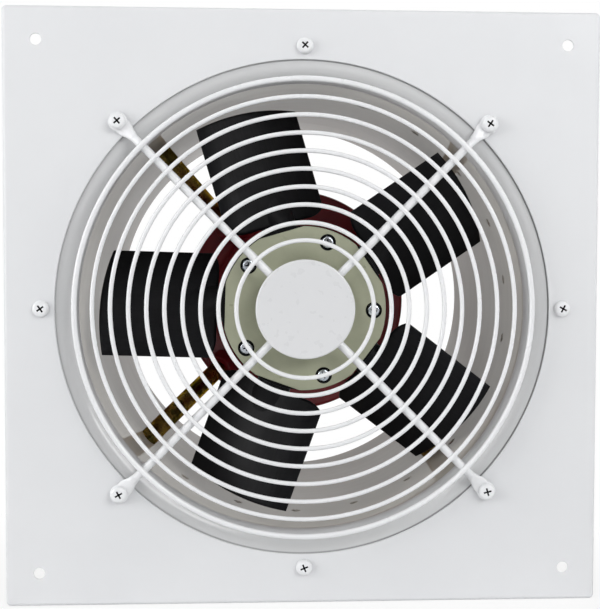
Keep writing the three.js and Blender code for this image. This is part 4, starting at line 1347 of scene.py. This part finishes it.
# %% Finishes for the inner solids
copper = plated(
    "copper",
    [(0.35, (0.42, 0.16, 0.07)), (0.65, (0.62, 0.27, 0.13))],
    400.0,
    0.34,
    stretch=(1, 6, 1),
)
core_steel = plated(
    "core_steel",
    [(0.35, (0.30, 0.31, 0.32)), (0.65, (0.40, 0.41, 0.43))],
    900.0,
    0.42,
    stretch=(0.05, 1, 0.05),
)
inner = {
    "stator_core": core_steel,
    "rotor_core": core_steel,
    "stator_winding": copper,
    "front_bearing": turned_steel,
    "rear_bearing": turned_steel,
}
for node, material in inner.items():
    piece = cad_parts[node]
    piece.data.materials.clear()
    piece.data.materials.append(material)
print("inner solids finished:", len(inner))

# %% [markdown]
# The floor is pale paper and takes the object's shadow. What the camera and the mirrors see of it
# is mixed with plain white: mostly white beside the fan, and all white from a hand's width away.
# The light that the floor sends on the fan stays that of the paper, so the white background is
# not a lamp. Light Path tells the rays apart, and the mix follows the distance beyond the fan's
# footprint.

# %% Floor
FLOOR_Z = -0.2142  # in metres, just below the plate
FOOTPRINT_MIDDLE = (0.0, 0.115, 0.0)
FOOTPRINT_HALF = (0.214, 0.142, 10.0)
NEAR_WHITE = 0.82  # share of white beside the fan
WHITE_FROM = 0.07  # metres beyond the footprint, from where it is all white

bm = bmesh.new()
bmesh.ops.create_circle(bm, cap_ends=True, segments=96, radius=6.0)
bmesh.ops.translate(bm, vec=(0, 0, FLOOR_Z), verts=bm.verts)
floor_mesh = bpy.data.meshes.new("floor")
bm.to_mesh(floor_mesh)
bm.free()
floor = linked("floor", floor_mesh)

paper = Finish("floor_paper", Roughness=0.9, Base_Color=(0.88, 0.88, 0.88, 1.0))
place = paper.place()
from_middle = paper.vector("ABSOLUTE", paper.vector("SUBTRACT", place, FOOTPRINT_MIDDLE))
beside = paper.vector("SUBTRACT", from_middle, FOOTPRINT_HALF)
spread = paper.vector("LENGTH", paper.vector("MAXIMUM", beside, (0, 0, 0)), output="Value")
whiteness = paper.between(spread, 0.0, WHITE_FROM, NEAR_WHITE, 1.0)
depth = paper.node("ShaderNodeSeparateXYZ", {}, {0: place}, output="Y")
mirrored = paper.ray("Glossy") * paper.between(depth, 0.0, 0.3)
seen = mirrored.math("MAXIMUM", paper.ray("Camera"), mirrored)
white = paper.node("ShaderNodeEmission", {}, {"Color": (1, 1, 1, 1), "Strength": 1.0})
lit = Socket(paper, paper.shader.outputs[0])
shown = paper.node("ShaderNodeMixShader", {}, {0: whiteness * seen, 1: lit, 2: white})
paper.feed(paper.tree.nodes["Material Output"].inputs["Surface"], shown)
floor_mesh.materials.append(paper.material)
print("floor at", FLOOR_Z)

# %% [markdown]
# The world shows as plain white to the camera, and to mirrors where they look past the fan. What
# it sheds on the fan is dim, so the black blades stay black.

# %% World
world = bpy.data.worlds.new("sky")
bpy.context.scene.world = world
world.use_nodes = True
sky = Nodes(world.node_tree)
sky.tree.nodes.clear()
way = sky.node("ShaderNodeTexCoord", output="Generated")
rearward = sky.between(sky.node("ShaderNodeSeparateXYZ", {}, {0: way}, output="Y"), 0.0, 0.2)
mirrored = rearward * sky.ray("Glossy")
straight = mirrored.math("MAXIMUM", sky.ray("Camera"), sky.ray("Transmission"))
seen = mirrored.math("MAXIMUM", straight, mirrored)
dim = sky.node("ShaderNodeBackground", {}, {"Color": (0.97, 0.98, 1.0, 1), "Strength": 0.12})
bright = sky.node("ShaderNodeBackground", {}, {"Color": (1, 1, 1, 1), "Strength": 1.0})
shown = sky.node("ShaderNodeMixShader", {}, {0: seen, 1: dim, 2: bright})
sky.feed(sky.tree.nodes.new("ShaderNodeOutputWorld").inputs["Surface"], shown)
print("world:", world.name)

# %% [markdown]
# The light is that of a plain product table: two broad soft lamps high in front, one at each
# side and one above, and one behind that fills the casing. The rear lamp is kept out of mirrors,
# because the casing's glossy wall would show it as a bright patch.

# %% Lamps
def soft_lamp(name, place, size, power, mirrored=True):
    data = bpy.data.lights.new(name, "AREA")
    data.shape = "RECTANGLE"
    data.size, data.size_y = size
    data.energy = power
    lamp = linked(name, data)
    aimed(lamp, place, (0, 0, 0))
    lamp.visible_camera = False
    lamp.visible_glossy = mirrored
    print(name, power, "W")


soft_lamp("lamp_front_left", (-1.5, -2.0, 1.3), (1.4, 1.4), 12)
soft_lamp("lamp_front_right", (1.5, -2.0, 1.3), (1.4, 1.4), 33)
soft_lamp("lamp_left", (-2.3, -0.9, 0.5), (1.2, 1.4), 30)
soft_lamp("lamp_right", (2.3, -0.9, 0.5), (1.2, 1.4), 10)
soft_lamp("lamp_top", (0, -0.9, 2.4), (1.6, 1.2), 8)
soft_lamp("lamp_rear", (0, 2.4, 0.9), (1.6, 1.2), 20, mirrored=False)

bpy.context.scene.view_settings.view_transform = "Standard"
